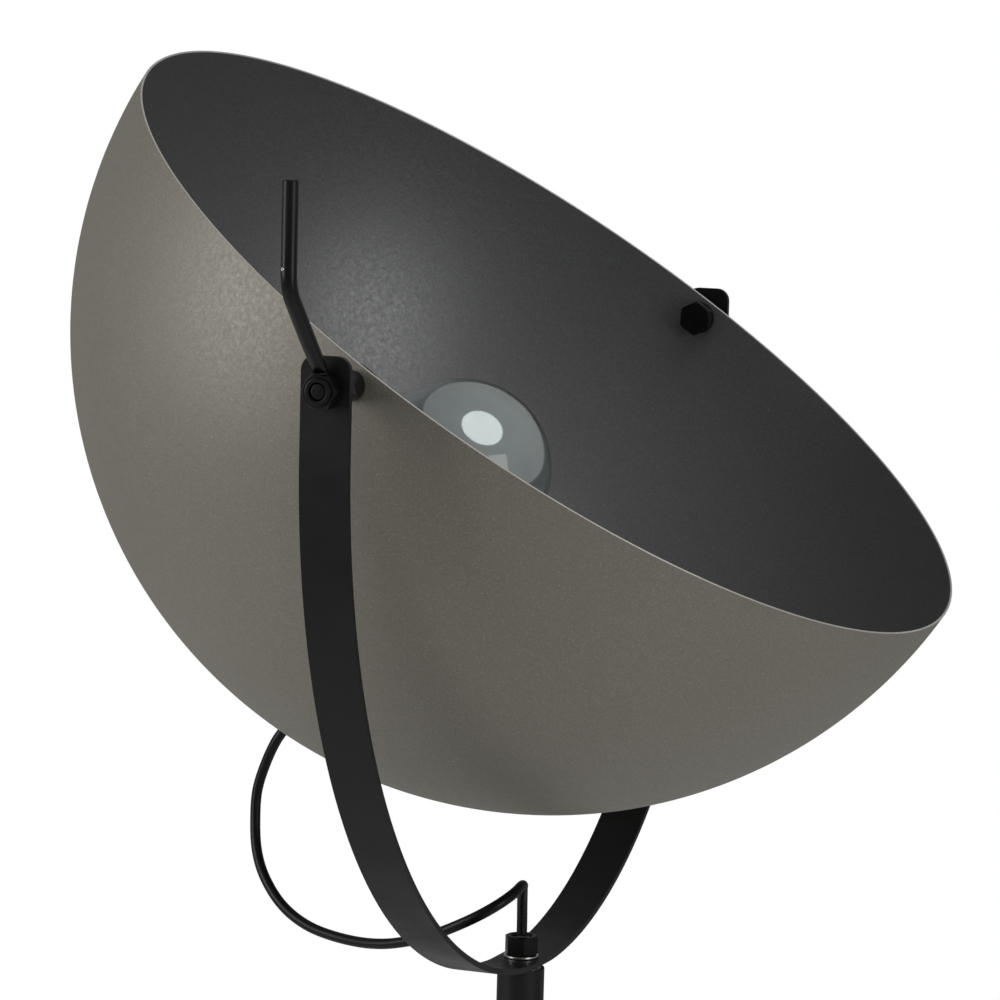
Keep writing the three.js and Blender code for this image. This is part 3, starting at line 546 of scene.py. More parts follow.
def coil_path():
    """In along the floor, two turns inwards, up, two turns outwards on top, and out."""
    wide = COIL_RADIUS + FLEX_DIAMETER
    tight = COIL_RADIUS - FLEX_DIAMETER
    low = 0.0029
    high = low + FLEX_DIAMETER
    steps = 48
    path = []
    for i in range(4):
        path.append(COIL_PLACE + Vector((0.0213 * (1 - i / 4), wide, low)))
    for i in range(int(4.25 * steps) + 1):
        turn = i / steps
        inwards = min(turn, 2.0) / 2
        outwards = max(turn - 2.25, 0.0) / 2
        climb = min(max((turn - 2.0) / 0.25, 0.0), 1.0)
        climb = climb * climb * (3 - 2 * climb)
        radius = wide + (tight - wide) * (inwards - outwards)
        angle = pi / 2 + 2 * pi * turn
        path.append(COIL_PLACE + around(radius, angle, low + (high - low) * climb))
    for i in range(1, 5):
        path.append(COIL_PLACE + Vector((-wide, -0.0213 * i / 4, high)))
    return [LAMP @ p for p in path]


def make_cords():
    """Each cord as a tube on its route, returned by name with its path."""
    made = {}
    head = smooth_line(route(HEAD_FLEX_ROUTE, PIVOT_FRAME))
    mesh = tube(head, FLEX_RADIUS)
    flex = piece("head_flex_tube", mesh, Matrix(), None, FLEX_LOOK, ["head_flex"])
    made["head"] = (flex, head)
    for key, points, node in (("lead", LEAD_ROUTE, "mains_lead"),
                              ("switched", SWITCH_LEAD_ROUTE, "mains_lead_switched"),
                              ("end", PLUG_LEAD_ROUTE, "mains_lead_end")):
        path = smooth_line(route(points, LAMP))
        mesh = tube(path, FLEX_RADIUS)
        made[key] = (piece(node + "_tube", mesh, Matrix(), "base", FLEX_LOOK, [node]), path)
    path = coil_path()
    mesh = tube(path, FLEX_RADIUS, 16)
    coil = piece("lead_coil_tube", mesh, Matrix(), "base", FLEX_LOOK, ["mains_lead_coil"])
    made["coil"] = (coil, path)
    return made


# ---- Shade head ----
def make_shade():
    """The spun dome: taupe outside, dark grey inside, with a lighter grey rim band."""
    steps = 72
    hole = 0.0069
    outer = []
    inner = []
    for radius, line in ((SHADE_RADIUS, outer), (SHADE_RADIUS - SHADE_WALL, inner)):
        start = asin(hole / radius)
        for i in range(steps + 1):
            angle = start + (pi / 2 - start) * i / steps
            line.append((radius * sin(angle), SPHERE_CENTRE - radius * cos(angle)))
    half = SHADE_WALL / 2
    roll = []
    for i in range(9):
        angle = pi * i / 8
        out = half * (cos(angle) - 1)
        up = half * (sin(angle) - 1)
        roll.append((SHADE_RADIUS + out, RIM_HEIGHT + up))
    profile = outer + roll + inner[::-1] + [outer[0]]
    bands = [0] * (len(outer) + 1) + [2] * (len(roll) - 2) + [1] * (len(inner) + 1)
    mesh = turned(profile, 192, bands)
    tools = [cutter(BOLT_HOLE, -0.26, 0.26, HEAD @ outward(1))]
    head_piece("shade_shell", mesh, ("shade_paint", PAINT_OUT, PAINT_IN, PAINT_RIM),
          ["shade"], holes(*tools))


def make_grip():
    """The domed cord grip under the apex, its stem and the nut inside."""
    base = APEX - 0.0003
    bore = FLEX_RADIUS + 0.0004
    profile = [(bore, base - 0.008), (bore, base), (0.0075, base), (0.0075, base - 0.0055)]
    profile += [(0.0069, base - 0.0062), (0.0069, base - 0.0074), (0.0073, base - 0.0082)]
    profile += [(0.0062, base - 0.0128), (0.0047, base - 0.0158), (0.0038, base - 0.017)]
    profile += [(bore, base - 0.017), (bore, base - 0.008)]
    mesh = turned(rounded(profile, 0.0006), 48)
    head_piece("grip_dome", mesh, PLASTIC_LOOK, ["cord_grip"])
    low = APEX + SHADE_WALL + 0.001
    mesh = hexagonal(0.021, low, low + 0.006, 0.0069, 0.0006)
    head_piece("stem_nut_hex", mesh, ZINC_LOOK, ["stem_nut"], [bevel(0.0002)])
    mesh = threaded(0.0065, 0.004, APEX + 0.0002, HOLDER_END - 0.0003, 0.001)
    head_piece("stem_threaded", mesh, METAL_LOOK, ["stem"])


def threaded(outer, inner, low, high, pitch):
    """A tube with fine ridges outside, close to a thread."""
    profile = [(inner, (low + high) / 2), (inner, low), (outer - 0.0004, low)]
    count = int((high - low - 0.001) / pitch)
    for i in range(count):
        z = low + 0.0005 + i * pitch
        profile += [(outer - 0.0004, z), (outer, z + pitch / 2)]
    profile += [(outer - 0.0004, high), (inner, high), (inner, (low + high) / 2)]
    return turned(profile, 40, sharp=70)


HOLDER_TOP = -0.1425
HOLDER_SPLIT = -0.1745
HOLDER_END = -0.2005


def make_holder():
    """The lampholder: a cup, a threaded skirt with grip ribs, the brass shell and the contact."""
    profile = [(0.004, HOLDER_END + 0.001), (0.004, HOLDER_END), (0.011, HOLDER_END)]
    profile += [(0.017, HOLDER_END + 0.003), (0.02, HOLDER_END + 0.009)]
    profile += [(0.02, HOLDER_SPLIT - 0.0035)]
    profile += [(0.0193, HOLDER_SPLIT - 0.003), (0.0193, HOLDER_SPLIT - 0.0018)]
    profile += [(0.02, HOLDER_SPLIT - 0.0013), (0.02, HOLDER_SPLIT - 0.0003)]
    profile += [(0.018, HOLDER_SPLIT - 0.0003), (0.018, HOLDER_END + 0.01)]
    profile += [(0.0144, HOLDER_END + 0.004), (0.004, HOLDER_END + 0.003)]
    profile += [(0.004, HOLDER_END + 0.001)]
    mesh = turned(rounded(profile, 0.001), 64)
    head_piece("holder_cup_shell", mesh, PLASTIC_LOOK, ["holder_cup"])
    mesh = ribbed_skirt()
    head_piece("holder_skirt_ribbed", mesh, PLASTIC_LOOK, ["holder_skirt"])
    for node, material in (("holder_shell", BRASS), ("holder_contact", PORCELAIN),
                           ("bulb_cap", NICKEL), ("bulb_tip", PORCELAIN)):
        repaint(node, material)


def ribbed_skirt():
    """The skirt's section, with its middle drawn into shallow upright ribs."""
    low, high = HOLDER_SPLIT, HOLDER_TOP
    inner = 0.0157
    stations = [(inner, low + 0.01, 0), (inner, low, 0), (0.0198, low, 0), (0.02, low + 0.0006, 0)]
    stations += [(0.02, low + 0.003, 0), (0.0201, low + 0.0036, 1), (0.0201, high - 0.0068, 1)]
    stations += [(0.02, high - 0.0062, 0), (0.02, high - 0.004, 0), (0.0214, high - 0.003, 0)]
    stations += [(0.0215, high - 0.0026, 0), (0.0215, high - 0.0006, 0), (0.021, high, 0)]
    stations += [(inner + 0.0004, high, 0), (inner, high - 0.0005, 0), (inner, low + 0.01, 0)]
    segments = 144
    rings = []
    for radius, z, share in stations:
        ring = []
        for i in range(segments):
            angle = 2 * pi * i / segments
            here = radius - share * 0.0005 * (1 - cos(angle * 36)) / 2
            ring.append(around(here, angle, z))
        rings.append(ring)
    return mesh_of(rings)


def repaint(node, material):
    """Gives a CAD node that stays in view its material."""
    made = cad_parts[node]
    made.data.materials.clear()
    made.data.materials.append(material)


def bulb_line(inset, low_angle=-56.0, steps=44):
    """The globe's [radius, z] line from below its middle to its slightly flattened crown."""
    radius = 0.0475 - inset
    start = radians(low_angle)
    line = []
    for i in range(steps + 1):
        angle = start + (pi / 2 - start) * i / steps
        rise = radius * sin(angle) * (0.99 if angle > 0 else 1.0)
        line.append((radius * cos(angle), rise - 0.079))
    line[-1] = (0, line[-1][1])
    return line


def make_bulb():
    """A clear globe with a silvered crown, its stem, and four yellow filaments."""
    wall = 0.0009
    neck = 0.0121
    bottom = -0.1445
    outside = [(neck, bottom + 0.0013), (neck, bottom + 0.004), (neck * 1.06, bottom + 0.0065)]
    outside += bulb_line(0)
    inside = [(max(0, r - wall), z) for r, z in outside[:3]] + bulb_line(wall)
    profile = outside + inside[::-1] + [outside[0]]
    mesh = turned(profile, 96, sharp=80)
    head_piece("bulb_envelope", mesh, GLASS_LOOK, ["bulb_glass"])
    coat = bulb_line(wall + 0.00012, -20.0, 36)
    back = bulb_line(wall + 0.00032, -20.0, 36)
    mesh = turned(coat + back[::-1] + [coat[0]], 96, sharp=80)
    head_piece("bulb_crown_mirror", mesh, ("bulb_glass", MIRROR))
    make_filaments()


def make_filaments():
    low = -0.1605
    branch = low + 0.046
    profile = [(0, low), (0.005, low), (0.0048, low + 0.016), (0.003, low + 0.03), (0.0016, branch)]
    profile += [(0.0013, low + 0.0615), (0, low + 0.062)]
    mesh = turned(rounded(profile, 0.002), 32)
    head_piece("filament_mount", mesh, GLASS_LOOK, ["filament_stem"])
    top = -0.059
    meshes = []
    wires = []
    for i in range(4):
        turn = spin((i + 0.5) * pi / 2, "Z") @ shift(0, 0.007, top) @ spin(radians(14), "X")
        strip = rod_mesh(0.0008, -0.034, -0.002, 0.0004, 16)
        strip.transform(turn)
        meshes.append(strip)
        for span in ((-0.0362, -0.0338), (-0.0022, 0.0002)):
            wire = rod_mesh(0.00045, span[0], span[1], 0.0001, 10)
            wire.transform(turn)
            wires.append(wire)
        start = Vector((0, 0, branch))
        end = turn @ Vector((0, 0, -0.0361))
        wires.append(tube([start, (end + start) / 2, end], 0.0003, 8))
    loop = [around(0.007, 2 * pi * k / 32, top) for k in range(33)]
    wires.append(tube(loop, 0.0003, 8))
    head_piece("filament_strips", joined(meshes), ("filament", PHOSPHOR), ["filaments"])
    head_piece("filament_wires", joined(wires), ("zinc", NICKEL))


def rod_mesh(radius, low, high, edge, segments=32):
    """A solid rod about Z with rounded ends."""
    profile = [(0, low), (radius, low), (radius, high), (0, high)]
    return turned(rounded(profile, edge), segments)


def joined(meshes):
    """Several meshes as one."""
    made = bmesh.new()
    for mesh in meshes:
        made.from_mesh(mesh)
        bpy.data.meshes.remove(mesh)
    mesh = bpy.data.meshes.new("mesh")
    made.to_mesh(mesh)
    made.free()
    return mesh


# ---- Pivots ----
SPACER_TURN = radians(-25)


def make_side(side, name):
    """One pivot's bolt, washer and bush, along Z out of the shade."""
    place = HEAD @ outward(side)
    face_low, face_high = span_of(name + "_side_inner_washer", side)
    mesh = washer(BOLT_HOLE, 0.009, face_low, face_high)
    piece(name + "_washer_in", mesh, place, "shade_head", METAL_LOOK, [name + "_side_inner_washer"])
    head_low, tip = span_of(name + "_side_bolt", side)
    if side < 0:
        tip = span_of("lever_nut", side)[1] - 0.0009
    head = hexagonal(0.017, head_low, head_low + 0.0065)
    shank = rod_mesh(0.0039, head_low + 0.004, tip, 0.0009, 40)
    both = joined([head, shank])
    piece(name + "_bolt", both, place, "shade_head", METAL_LOOK,
          [name + "_side_bolt"], [bevel(0.0003)])
    low, high = span_of(name + "_side_bush", side)
    mesh = washer(BOLT_HOLE, 0.0075, low, high, 48, 0.0005)
    piece(name + "_bush_turned", mesh, place, "shade_head", METAL_LOOK, [name + "_side_bush"])


def span_of(node, side):
    """How far a node reaches outwards from the shade's centre, as (nearest, furthest)."""
    low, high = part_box(node)
    centre = PIVOT.x + SHADE_OFFSET
    reach = sorted(((low.x - centre) * side, (high.x - centre) * side))
    return reach[0], reach[1]


def make_pivots():
    for side, name in ((-1, "lever"), (1, "far")):
        make_side(side, name)
    near = HEAD @ spin(SPACER_TURN, "X") @ outward(-1)
    low, high = span_of("lever_side_spacer_nut", -1)
    mesh = hexagonal(0.022, low, high, BOLT_HOLE, 0.0005)
    piece("spacer_nut", mesh, near, "shade_head", METAL_LOOK,
          ["lever_side_spacer_nut"], [bevel(0.0004)])
    far = HEAD @ outward(1)
    low, high = span_of("far_side_outer_washer", 1)
    mesh = washer(BOLT_HOLE, 0.009, low, high)
    piece("far_washer_out", mesh, far, "shade_head", METAL_LOOK, ["far_side_outer_washer"])
    low, high = span_of("far_side_lock_nut", 1)
    mesh = hexagonal(0.014, low, high - 0.0022, BOLT_HOLE, 0.0004)
    mesh = joined([mesh, nut_collar(0.0062, high - 0.003, high)])
    piece("far_nut", mesh, far, "shade_head", METAL_LOOK, ["far_side_lock_nut"], [bevel(0.0003)])


def nut_collar(radius, low, high):
    """The rounded collar that stands out of a nut's face."""
    profile = rounded(ring_profile(BOLT_HOLE, radius, low, high), 0.0007, 4)
    return turned(profile, 64)


def make_lever():
    """The crank lever: a hexagon nut with a bent rod welded to its upper flat."""
    place = HEAD_CENTRE @ outward(-1)
    low, high = span_of("lever_nut", -1)
    mesh = hexagonal(0.016, low, high - 0.0014, BOLT_HOLE, 0.0004)
    mesh = joined([mesh, nut_collar(0.0065, high - 0.002, high)])
    piece("lever_nut_hex", mesh, place, "clamp_lever", METAL_LOOK,
          ["lever_nut"], [bevel(0.0004, 3)])
    centre = (low + high) / 2
    foot = Vector((-centre, 0, 0.0082))
    bend = foot + Vector((-0.0385, 0, 0.041))
    top = bend + Vector((0, 0, 0.05))
    slope = (bend - foot).normalized()
    path = [foot, foot + slope * 0.02, bend - slope * 0.008]
    start, end = bend - slope * 0.008, bend + Vector((0, 0, 0.008))
    for i in range(1, 12):
        t = i / 12
        path.append(start * (1 - t) ** 2 + bend * (2 * t * (1 - t)) + end * t * t)
    path += [end, top - Vector((0, 0, 0.02)), top]
    mesh = tube(path, 0.0038, 40)
    ground = bmesh.new()
    ground.from_mesh(mesh)
    for vertex in ground.verts:
        vertex.co.z = max(vertex.co.z, 0.0083)
    ground.to_mesh(mesh)
    ground.free()
    piece("lever_crank", mesh, HEAD_CENTRE, "clamp_lever", ("black_powder", BLACK_OXIDE),
          ["lever_rod"], [bevel(0.0007, 3, 50)])
    make_weld(foot, slope)
    out = Vector((-0.89, 0.46, 0)).normalized()
    spot = bend + Vector((0, 0, 0.0095))
    frame_of = out.to_track_quat("Z", "Y").to_matrix().to_4x4()
    profile = [(0, -0.0003), (0.0003, -0.0002), (0.0006, 0.0), (0.0008, 0.0001), (0.0009, -0.0003)]
    profile.append((0, -0.0008))
    mesh = turned(profile, 24)
    piece("lever_dimple", mesh, HEAD_CENTRE @ Matrix.Translation(spot + out * 0.00385) @ frame_of,
          "clamp_lever", ZINC_LOOK)


def make_weld(foot, slope):
    """An uneven bead of weld round the rod's foot, painted over."""
    rings = []
    count = 48
    for k in range(9):
        turn = pi * k / 8
        ring = []
        for i in range(count):
            angle = 2 * pi * i / count
            ripple = 1 + 0.12 * sin(9 * angle) + 0.08 * sin(17 * angle + 1)
            reach = 0.0036 + 0.0009 * cos(turn) * ripple
            rise = 0.0009 * sin(turn) * ripple
            x = reach * cos(angle) / abs(slope.z) + slope.x / slope.z * rise
            y = reach * sin(angle)
            ring.append(Vector((foot.x + x, y, 0.0081 + rise)))
        rings.append(ring)
    mesh = mesh_of(rings + [rings[0]], sharp=80)
    piece("lever_weld", mesh, HEAD_CENTRE, "clamp_lever", METAL_LOOK)


# ---- Yoke ----
def bow_point(angle, inset):
    half = YOKE_HALF - inset
    depth = BOW_DEPTH - inset
    x = -half * cos(angle)
    held = max(abs(x), SEAT_HALF) / half
    return x, -ARM_STRAIGHT - depth * sqrt(max(0.0, 1 - held * held))


def make_yoke():
    """The bent flat strip, with rounded tops, softened edges and its three holes."""
    line = []
    for i in range(13):
        fall = STRIP_CORNER * (1 - cos(pi / 2 * i / 12))
        line.append(ARM_TOP - fall)
    straight = [ARM_TOP - STRIP_CORNER - 0.006, 0.0, -0.015]
    side = [((-YOKE_HALF, z), (-YOKE_HALF + STRIP_THICKNESS, z)) for z in line + straight]
    bow = [(bow_point(pi * i / 160, 0), bow_point(pi * i / 160, STRIP_THICKNESS))
           for i in range(161)]
    other = [((-a[0], a[1]), (-b[0], b[1])) for a, b in reversed(side)]
    across = 6
    rings = []
    for outer, inner in side + bow + other:
        into = max(0.0, STRIP_CORNER - (ARM_TOP - outer[1])) if outer[1] > 0 else 0.0
        into = min(into, STRIP_CORNER)
        half = STRIP_WIDTH / 2 - STRIP_CORNER + sqrt(STRIP_CORNER ** 2 - into ** 2)
        places = [half * (2 * k / across - 1) for k in range(across + 1)]
        rings.append([(outer[0], y, outer[1]) for y in places]
                     + [(inner[0], -y, inner[1]) for y in places])
    mesh = capped(rings)
    seat = bow_point(pi / 2, 0)[1]
    tools = [cutter(BOLT_HOLE, -0.3, 0.3, PIVOT_FRAME @ outward(1))]
    tools.append(cutter(NIPPLE_HOLE, seat - 0.01, seat + 0.01, PIVOT_FRAME))
    piece("yoke_bow", mesh, PIVOT_FRAME, "yoke", COAT_LOOK, ["yoke_strip"],
          [bevel(0.0006, 3, 40)] + holes(*tools))


def capped(rings):
    """A strip of rings, closed at both ends."""
    made = bmesh.new()
    rows = [[made.verts.new(p) for p in ring] for ring in rings]
    count = len(rings[0])
    for low, high in zip(rows, rows[1:]):
        for i in range(count):
            j = (i + 1) % count
            made.faces.new((low[i], low[j], high[j], high[i]))
    half = count // 2
    for row in (rows[0], rows[-1]):
        for k in range(half - 1):
            made.faces.new((row[k], row[k + 1], row[count - 2 - k], row[count - 1 - k]))
    return finished_mesh(made)


def make_swivel():
    """The nut, bright washers and nipple that hold the yoke on the column."""
    low, high = (c.z - PIVOT.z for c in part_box("yoke_nut"))
    mesh = hexagonal(0.016, low, high, NIPPLE_HOLE, 0.0009)
    piece("swivel_nut", mesh, PIVOT_FRAME, "base", METAL_LOOK, ["yoke_nut"], [bevel(0.0004, 3)])
    for node, name, radius in (("yoke_washer", "swivel_washer", 0.00925),
                               ("yoke_seat_washer", "seat_washer", 0.0105)):
        low, high = (c.z - PIVOT.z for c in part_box(node))
        mesh = washer(NIPPLE_HOLE, radius, low, high, 64, 0.00025)
        piece(name, mesh, PIVOT_FRAME, "base", ZINC_LOOK, [node])
    low, high = (c.z - PIVOT.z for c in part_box("yoke_nipple"))
    mesh = threaded(0.005, 0.0035, low, high, 0.001)
    piece("nipple_threaded", mesh, PIVOT_FRAME, "base", ZINC_LOOK, ["yoke_nipple"])


# ---- Column, hub and legs ----
def make_column():
    low, high = (c.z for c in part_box("column_tube"))
    inner = 0.011
    outer = 0.0125
    profile = [(inner, low + 0.01), (inner, low), (outer, low), (outer, high), (inner, high)]
    profile.append((inner, low + 0.01))
    mesh = turned(rounded(profile, 0.0011, 4), 72)
    piece("column_pipe", mesh, LAMP, "base", COAT_LOOK, ["column_tube"])
    low, high = (c.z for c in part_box("column_plug"))
    mesh = washer(NIPPLE_HOLE, 0.0107, low, high, 64, 0.0003)
    piece("column_top_plug", mesh, LAMP, "base", ZINC_LOOK, ["column_plug"])
    repaint("column_flex", FLEX)


LEG_SLOPE = atan2(0.31, 0.63)
HUB_LOW = 0.63
LEG_TURNS = {"front": -90, "right": 30, "left": 150}
SCREW_DEPTH = 0.0175  # up the leg from the hub's underside
SCREW_SEAT = 0.013 * cos(LEG_SLOPE) - 0.0006  # head's underside, out from the leg's axis


def leg_frame(side):
    turn = spin(radians(LEG_TURNS[side]), "Z")
    lean = spin(-LEG_SLOPE, "Y")
    return LAMP @ turn @ shift(0.03, 0, HUB_LOW) @ lean


def make_hub():
    """The turned cone that takes the column above and the three legs below."""
    top = 0.69
    low = HUB_LOW
    profile = [(0.006, low), (0.0415, low), (0.043, low + 0.002), (0.0425, low + 0.0032)]
    profile += [(0.0185, top - 0.003), (0.018, top), (0.0128, top), (0.0128, top - 0.022)]
    profile += [(0.006, top - 0.022), (0.006, low)]
    mesh = turned(rounded(profile, 0.0009, 4), 128)
    tools = []
    for side in LEG_TURNS:
        place = leg_frame(side)
        tools.append(cutter(0.0083, -0.04, 0.035, place, 48))
        across = place @ shift(0, 0, SCREW_DEPTH) @ outward(1)
        tools.append(cutter(0.0033, 0.007, SCREW_SEAT + 0.002, across, 24))
        tools.append(cutter(0.0051, SCREW_SEAT, SCREW_SEAT + 0.03, across, 32))
    piece("hub_cone", mesh, LAMP, "base", COAT_LOOK, ["hub"],
          holes(*tools) + [bevel(0.0004, 2, 35)])


def make_legs():
    drop = HUB_LOW / cos(LEG_SLOPE)
    low = 0.012 - drop
    for side in LEG_TURNS:
        place = leg_frame(side)
        profile = [(0.0065, low + 0.01), (0.0065, low), (0.008, low), (0.008, 0.0347)]
        profile += [(0.0065, 0.0347)]
        profile.append((0.0065, low + 0.01))
        mesh = turned(rounded(profile, 0.0006), 56)
        piece("leg_pipe_" + side, mesh, place, "base", COAT_LOOK, ["leg_" + side])
        head = SCREW_SEAT + 0.0003
        profile = [(0, 0.00815), (0.003, 0.00815), (0.003, head), (0.0048, head)]
        profile += [(0.0048, head + 0.0017), (0.0042, head + 0.0027), (0.0025, head + 0.0028)]
        profile += [(0.0021, head + 0.0028), (0.0021, head + 0.0012), (0, head + 0.0012)]
        mesh = turned(rounded(profile, 0.0003), 36)
        across = place @ shift(0, 0, SCREW_DEPTH) @ outward(1)
        piece("leg_bolt_" + side, mesh, across, "base", ZINC_LOOK, ["leg_screw_" + side])
        make_foot(side, place, low)


def make_foot(side, place, low):
    """A rubber boot with two grip rings, cut level where it stands."""
    outer = 0.0109
    high = low + 0.026
    bottom = low - 0.035
    profile = [(0, bottom), (outer, bottom), (outer, low + 0.009), (outer - 0.0007, low + 0.0098)]
    profile += [(outer - 0.0007, low + 0.0112), (outer, low + 0.012), (outer, low + 0.0145)]
    profile += [(outer - 0.0007, low + 0.0153), (outer - 0.0007, low + 0.0167)]
    profile += [(outer, low + 0.0175)]
    profile += [(outer, high - 0.0012), (outer - 0.0012, high), (0.0083, high)]
    profile += [(0.0083, low + 0.01)]
    profile = rounded(profile, 0.0004) + [(0.0083, low - 0.0003), (0, low - 0.0003)]
    mesh = turned(profile, 48)
    floor = bpy.data.objects.new("tool", prism([(-1, -1), (1, -1), (1, 1), (-1, 1)], -0.2, 0.0))
    bpy.context.scene.collection.objects.link(floor)
    piece("foot_boot_" + side, mesh, place, "base", RUBBER_LOOK, ["foot_" + side],
          holes(floor) + [bevel(0.0005, 2, 40)])


# ---- Mains lead's parts ----
def sleeve_mesh(length, wide, narrow, bore, rings=5):
    """A tapered strain relief along Z with cut rings that let it bend."""
    profile = [(bore, length * 0.5), (bore, 0), (wide, 0), (wide, length * 0.14)]
    for i in range(rings):
        here = length * (0.2 + 0.72 * i / rings)
        radius = wide + (narrow - wide) * here / length
        gap = length * 0.05
        profile += [(radius, here), (radius - 0.0008, here + gap * 0.3)]
        profile += [(radius - 0.0008, here + gap)]
        profile.append((radius - 0.0001, here + gap * 1.3))
    profile += [(narrow, length), (bore, length), (bore, length * 0.5)]
    return turned(rounded(profile, 0.0003, 2), 40)


def make_relief():
    """The grommet and strain relief under the hub."""
    low = HUB_LOW - 0.0003
    bore = RELIEF_BORE
    profile = [(bore, low), (bore, low - 0.034), (0.0039, low - 0.034)]
    for i in range(5):
        z = low - 0.030 + i * 0.0052
        radius = 0.0041 + (0.0062 - 0.0041) * (i / 5)
        profile += [(radius, z), (radius - 0.0007, z + 0.0004), (radius - 0.0007, z + 0.0014),
                    (radius + 0.0002, z + 0.0018)]
    profile += [(0.0064, low - 0.004), (0.009, low - 0.002), (0.009, low), (0.0057, low)]
    profile += [(0.0057, low + 0.012), (bore, low + 0.012), (bore, low)]
    mesh = turned(rounded(profile, 0.0004, 2), 48)
    piece("relief_grommet", mesh, LAMP, "base", RUBBER_LOOK, ["cord_relief"])


def switch_frame():
    return LAMP @ Matrix.Translation(SWITCH_PLACE) @ spin(SWITCH_TURN, "Z")


def make_switch():
    """The round foot switch: base, domed cover, ringed button and two strain reliefs."""
    place = switch_frame()
    rim = 0.0297
    profile = [(0, 0), (0.0305, 0), (0.032, 0.0012), (0.032, 0.0035)]
    profile += [(rim, 0.0035), (rim, 0.005), (0, 0.005)]
    mesh = turned(rounded(profile, 0.0006), 96)
    made = [piece("switch_foot", mesh, place, "base", PLASTIC_LOOK, ["switch_base"])]
    top = 0.018
    low = 0.0038
    opening = 0.0164
    profile = [(0.03, low), (0.032, low), (0.032, 0.0108), (0.0309, 0.0142), (0.0284, 0.0166)]
    profile += [(0.025, top), (0.0185, top), (0.0181, top - 0.0006), (0.0175, top - 0.0006)]
    profile += [(0.0171, top), (opening, top), (opening, top - 0.002), (0.0243, top - 0.002)]
    profile += [(0.0278, 0.0137), (0.03, 0.0108), (0.03, low)]
    mesh = turned(rounded(profile, 0.0012, 4), 96)
    made.append(piece("switch_dome", mesh, place, "base", PLASTIC_LOOK, ["switch_cover"]))
    make_button(place)
    for name, node, turn in (("switch_relief_out", "switch_sleeve_out", 0.0),
                             ("switch_relief_in", "switch_sleeve_in", pi)):
        mesh = sleeve_mesh(0.03, 0.0052, 0.0039, RELIEF_BORE)
        where = place @ spin(turn, "Z") @ shift(0.0323, 0, 0.007)
        made.append(piece(name, mesh, where @ outward(1), "base", RUBBER_LOOK, [node]))
    return made


def make_button(place):
    lift = 0.0095
    profile = [(0, lift), (0.016, lift), (0.016, 0.0195), (0.0144, 0.0212)]
    for radius in (0.0128, 0.0104, 0.008):
        crown = 0.022 - 0.0008 * (radius / 0.016) ** 2
        profile += [(radius, crown), (radius - 0.0003, crown - 0.0005)]
        profile += [(radius - 0.0008, crown - 0.0005), (radius - 0.0011, crown + 0.00002)]
    profile.append((0, 0.022))
    mesh = turned(rounded(profile, 0.0003, 2), 72)
    piece("button_cap", mesh, place, "foot_button", PLASTIC_LOOK, ["switch_button"])


PLUG_MIDDLE = 0.0068


def make_plug():
    """The flat two-pin plug with a waisted body and half-sleeved pins."""
    place = LAMP @ Matrix.Translation(PLUG_PLACE) @ spin(PLUG_TURN, "Z")
    half = 0.0175
    length = 0.036
    corner = [(0.0, -half), (length * 0.5, -half)]
    for i in range(1, 13):
        t = i / 12
        x = length * (0.5 * (1 - t) ** 2 + 1.6 * t * (1 - t) + t * t)
        y = half * (1 - t) ** 2 + half * 2 * t * (1 - t) + 0.0055 * t * t
        corner.append((x, -y))
    outline = corner + [(x, -y) for x, y in reversed(corner)]
    mesh = prism(outline, 0.0, 2 * PLUG_MIDDLE)
    made = [piece("plug_shell", mesh, place, "base", PLASTIC_LOOK, ["plug_body"],
                  [bevel(0.0022, 4, 40)])]
    for side, name in ((-1, "plug_pin_left"), (1, "plug_pin_right")):
        where = place @ shift(0, side * 0.0095, PLUG_MIDDLE) @ outward(-1)
        metal = rod_mesh(0.00235, 0.0003, 0.019, 0.0009, 32)
        made.append(piece(name + "_metal", metal, where, "base", ("zinc", NICKEL), [name]))
        profile = [(0.00237, 0.0003), (0.0024, 0.0003), (0.0024, 0.010), (0.00237, 0.0102)]
        collar = turned(rounded(profile, 0.0001), 32)
        made.append(piece(name + "_sleeve", collar, where, "base", PLASTIC_LOOK))
    mesh = sleeve_mesh(0.028, 0.0056, 0.0039, RELIEF_BORE)
    where = place @ shift(length + 0.0003, 0, PLUG_MIDDLE) @ outward(1)
    made.append(piece("plug_relief", mesh, where, "base", RUBBER_LOOK, ["plug_sleeve"]))
    return made


# ---- Studio ----
SURROUND = 0.22


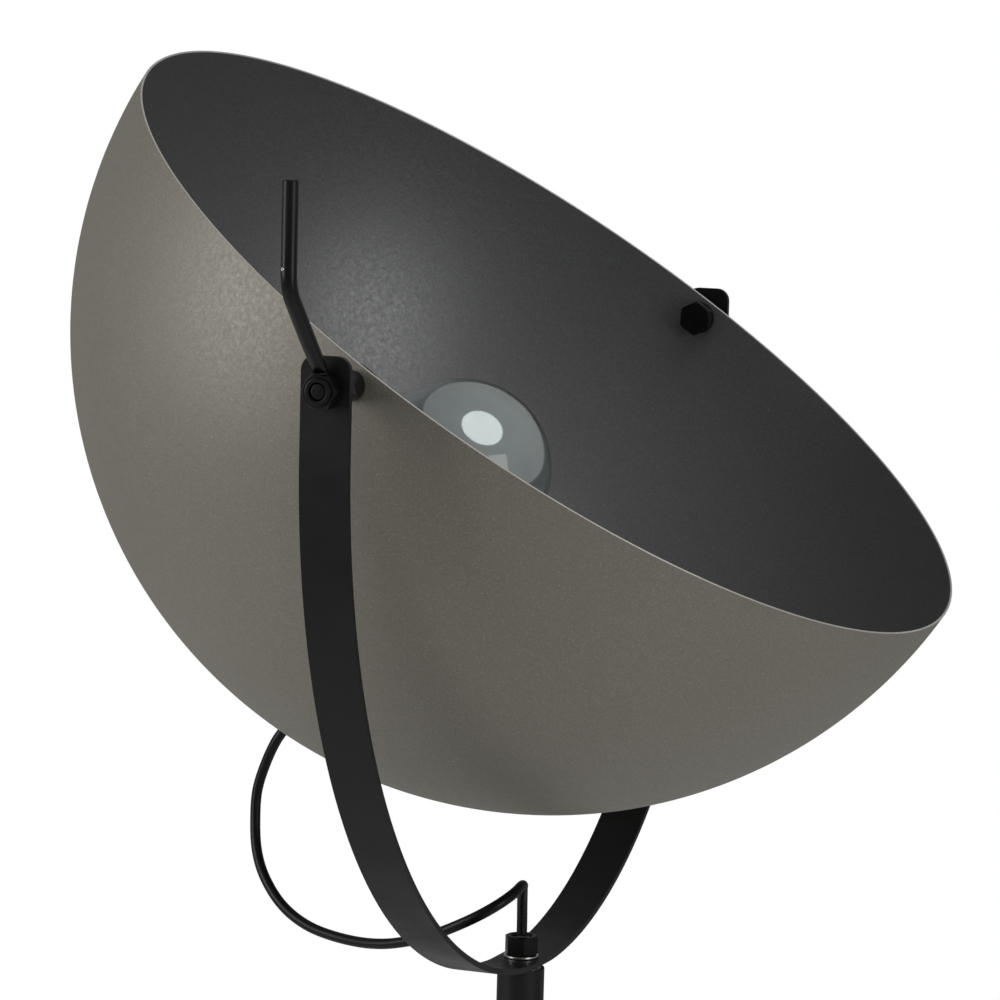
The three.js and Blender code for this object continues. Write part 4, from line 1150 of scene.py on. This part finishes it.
def make_surround():
    """A white surround that lights the lamp softly but is full white behind it."""
    world = bpy.data.worlds.new("studio")
    world.use_nodes = True
    tree = world.node_tree
    soft = tree.nodes["Background"]
    soft.inputs["Color"].default_value = (1, 1, 1, 1)
    soft.inputs["Strength"].default_value = SURROUND
    behind = tree.nodes.new("ShaderNodeBackground")
    behind.inputs["Color"].default_value = (1, 1, 1, 1)
    behind.inputs["Strength"].default_value = 1.0
    kind = tree.nodes.new("ShaderNodeLightPath")
    both = tree.nodes.new("ShaderNodeMixShader")
    tree.links.new(kind.outputs["Is Camera Ray"], both.inputs["Fac"])
    tree.links.new(soft.outputs["Background"], both.inputs[1])
    tree.links.new(behind.outputs["Background"], both.inputs[2])
    tree.links.new(both.outputs["Shader"], tree.nodes["World Output"].inputs["Surface"])
    bpy.context.scene.world = world


def make_studio():
    """A pale floor, a pale surround and soft lamps."""
    floor_finish = Finish("studio_floor", (0.92, 0.92, 0.92), 0.6)
    floor_finish.roughness(floor_finish.ramp(floor_finish.noise(3.0, 2.0), 0.3, 0.7, 0.55, 0.65))
    made = bmesh.new()
    bmesh.ops.create_circle(made, cap_ends=True, segments=96, radius=3.5)
    mesh = bpy.data.meshes.new("studio_floor")
    made.to_mesh(mesh)
    made.free()
    mesh.materials.append(floor_finish.material)
    floor = bpy.data.objects.new("studio_floor", mesh)
    floor.location = (0, 0, -0.0005)
    bpy.context.scene.collection.objects.link(floor)
    make_surround()
    for name, place, aim, size, power, glossy, in_bulb in (
        ("key", (-1.5, 1.9, 1.75), (0, 0, 1.3), (1.1, 1.6), 31, True, False),
        ("fill", (-0.75, -2.1, 1.45), (0, 0, 1.3), (1.0, 1.4), 14, True, False),
        ("top", (0.2, -0.8, 3.3), (0, 0, 1.3), (1.9, 1.5), 15, False, False),
        ("umbrella", (-0.45, -1.0, 3.1), (0, 0, 1.3), (1.9, 1.9), 8, True, True),
    ):
        data = bpy.data.lights.new(name, "AREA")
        data.shape = "ELLIPSE" if in_bulb else "RECTANGLE"
        data.size, data.size_y = size
        data.energy = power
        light = bpy.data.objects.new(name, data)
        light.location = place
        light.visible_glossy = glossy
        light.visible_transmission = in_bulb
        light.rotation_euler = (Vector(aim) - Vector(place)).to_track_quat("-Z", "Y").to_euler()
        bpy.context.scene.collection.objects.link(light)
    bpy.context.scene.view_settings.view_transform = "Standard"


def main():
    make_camera()
    cords = make_cords()
    make_studio()
    make_shade()
    make_grip()
    make_holder()
    make_bulb()
    make_pivots()
    make_lever()
    make_yoke()
    make_swivel()
    make_column()
    make_hub()
    make_legs()
    make_relief()
    switch = make_switch()
    plug = make_plug()
    flex = cords["head"][0]
    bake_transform(flex)


main()
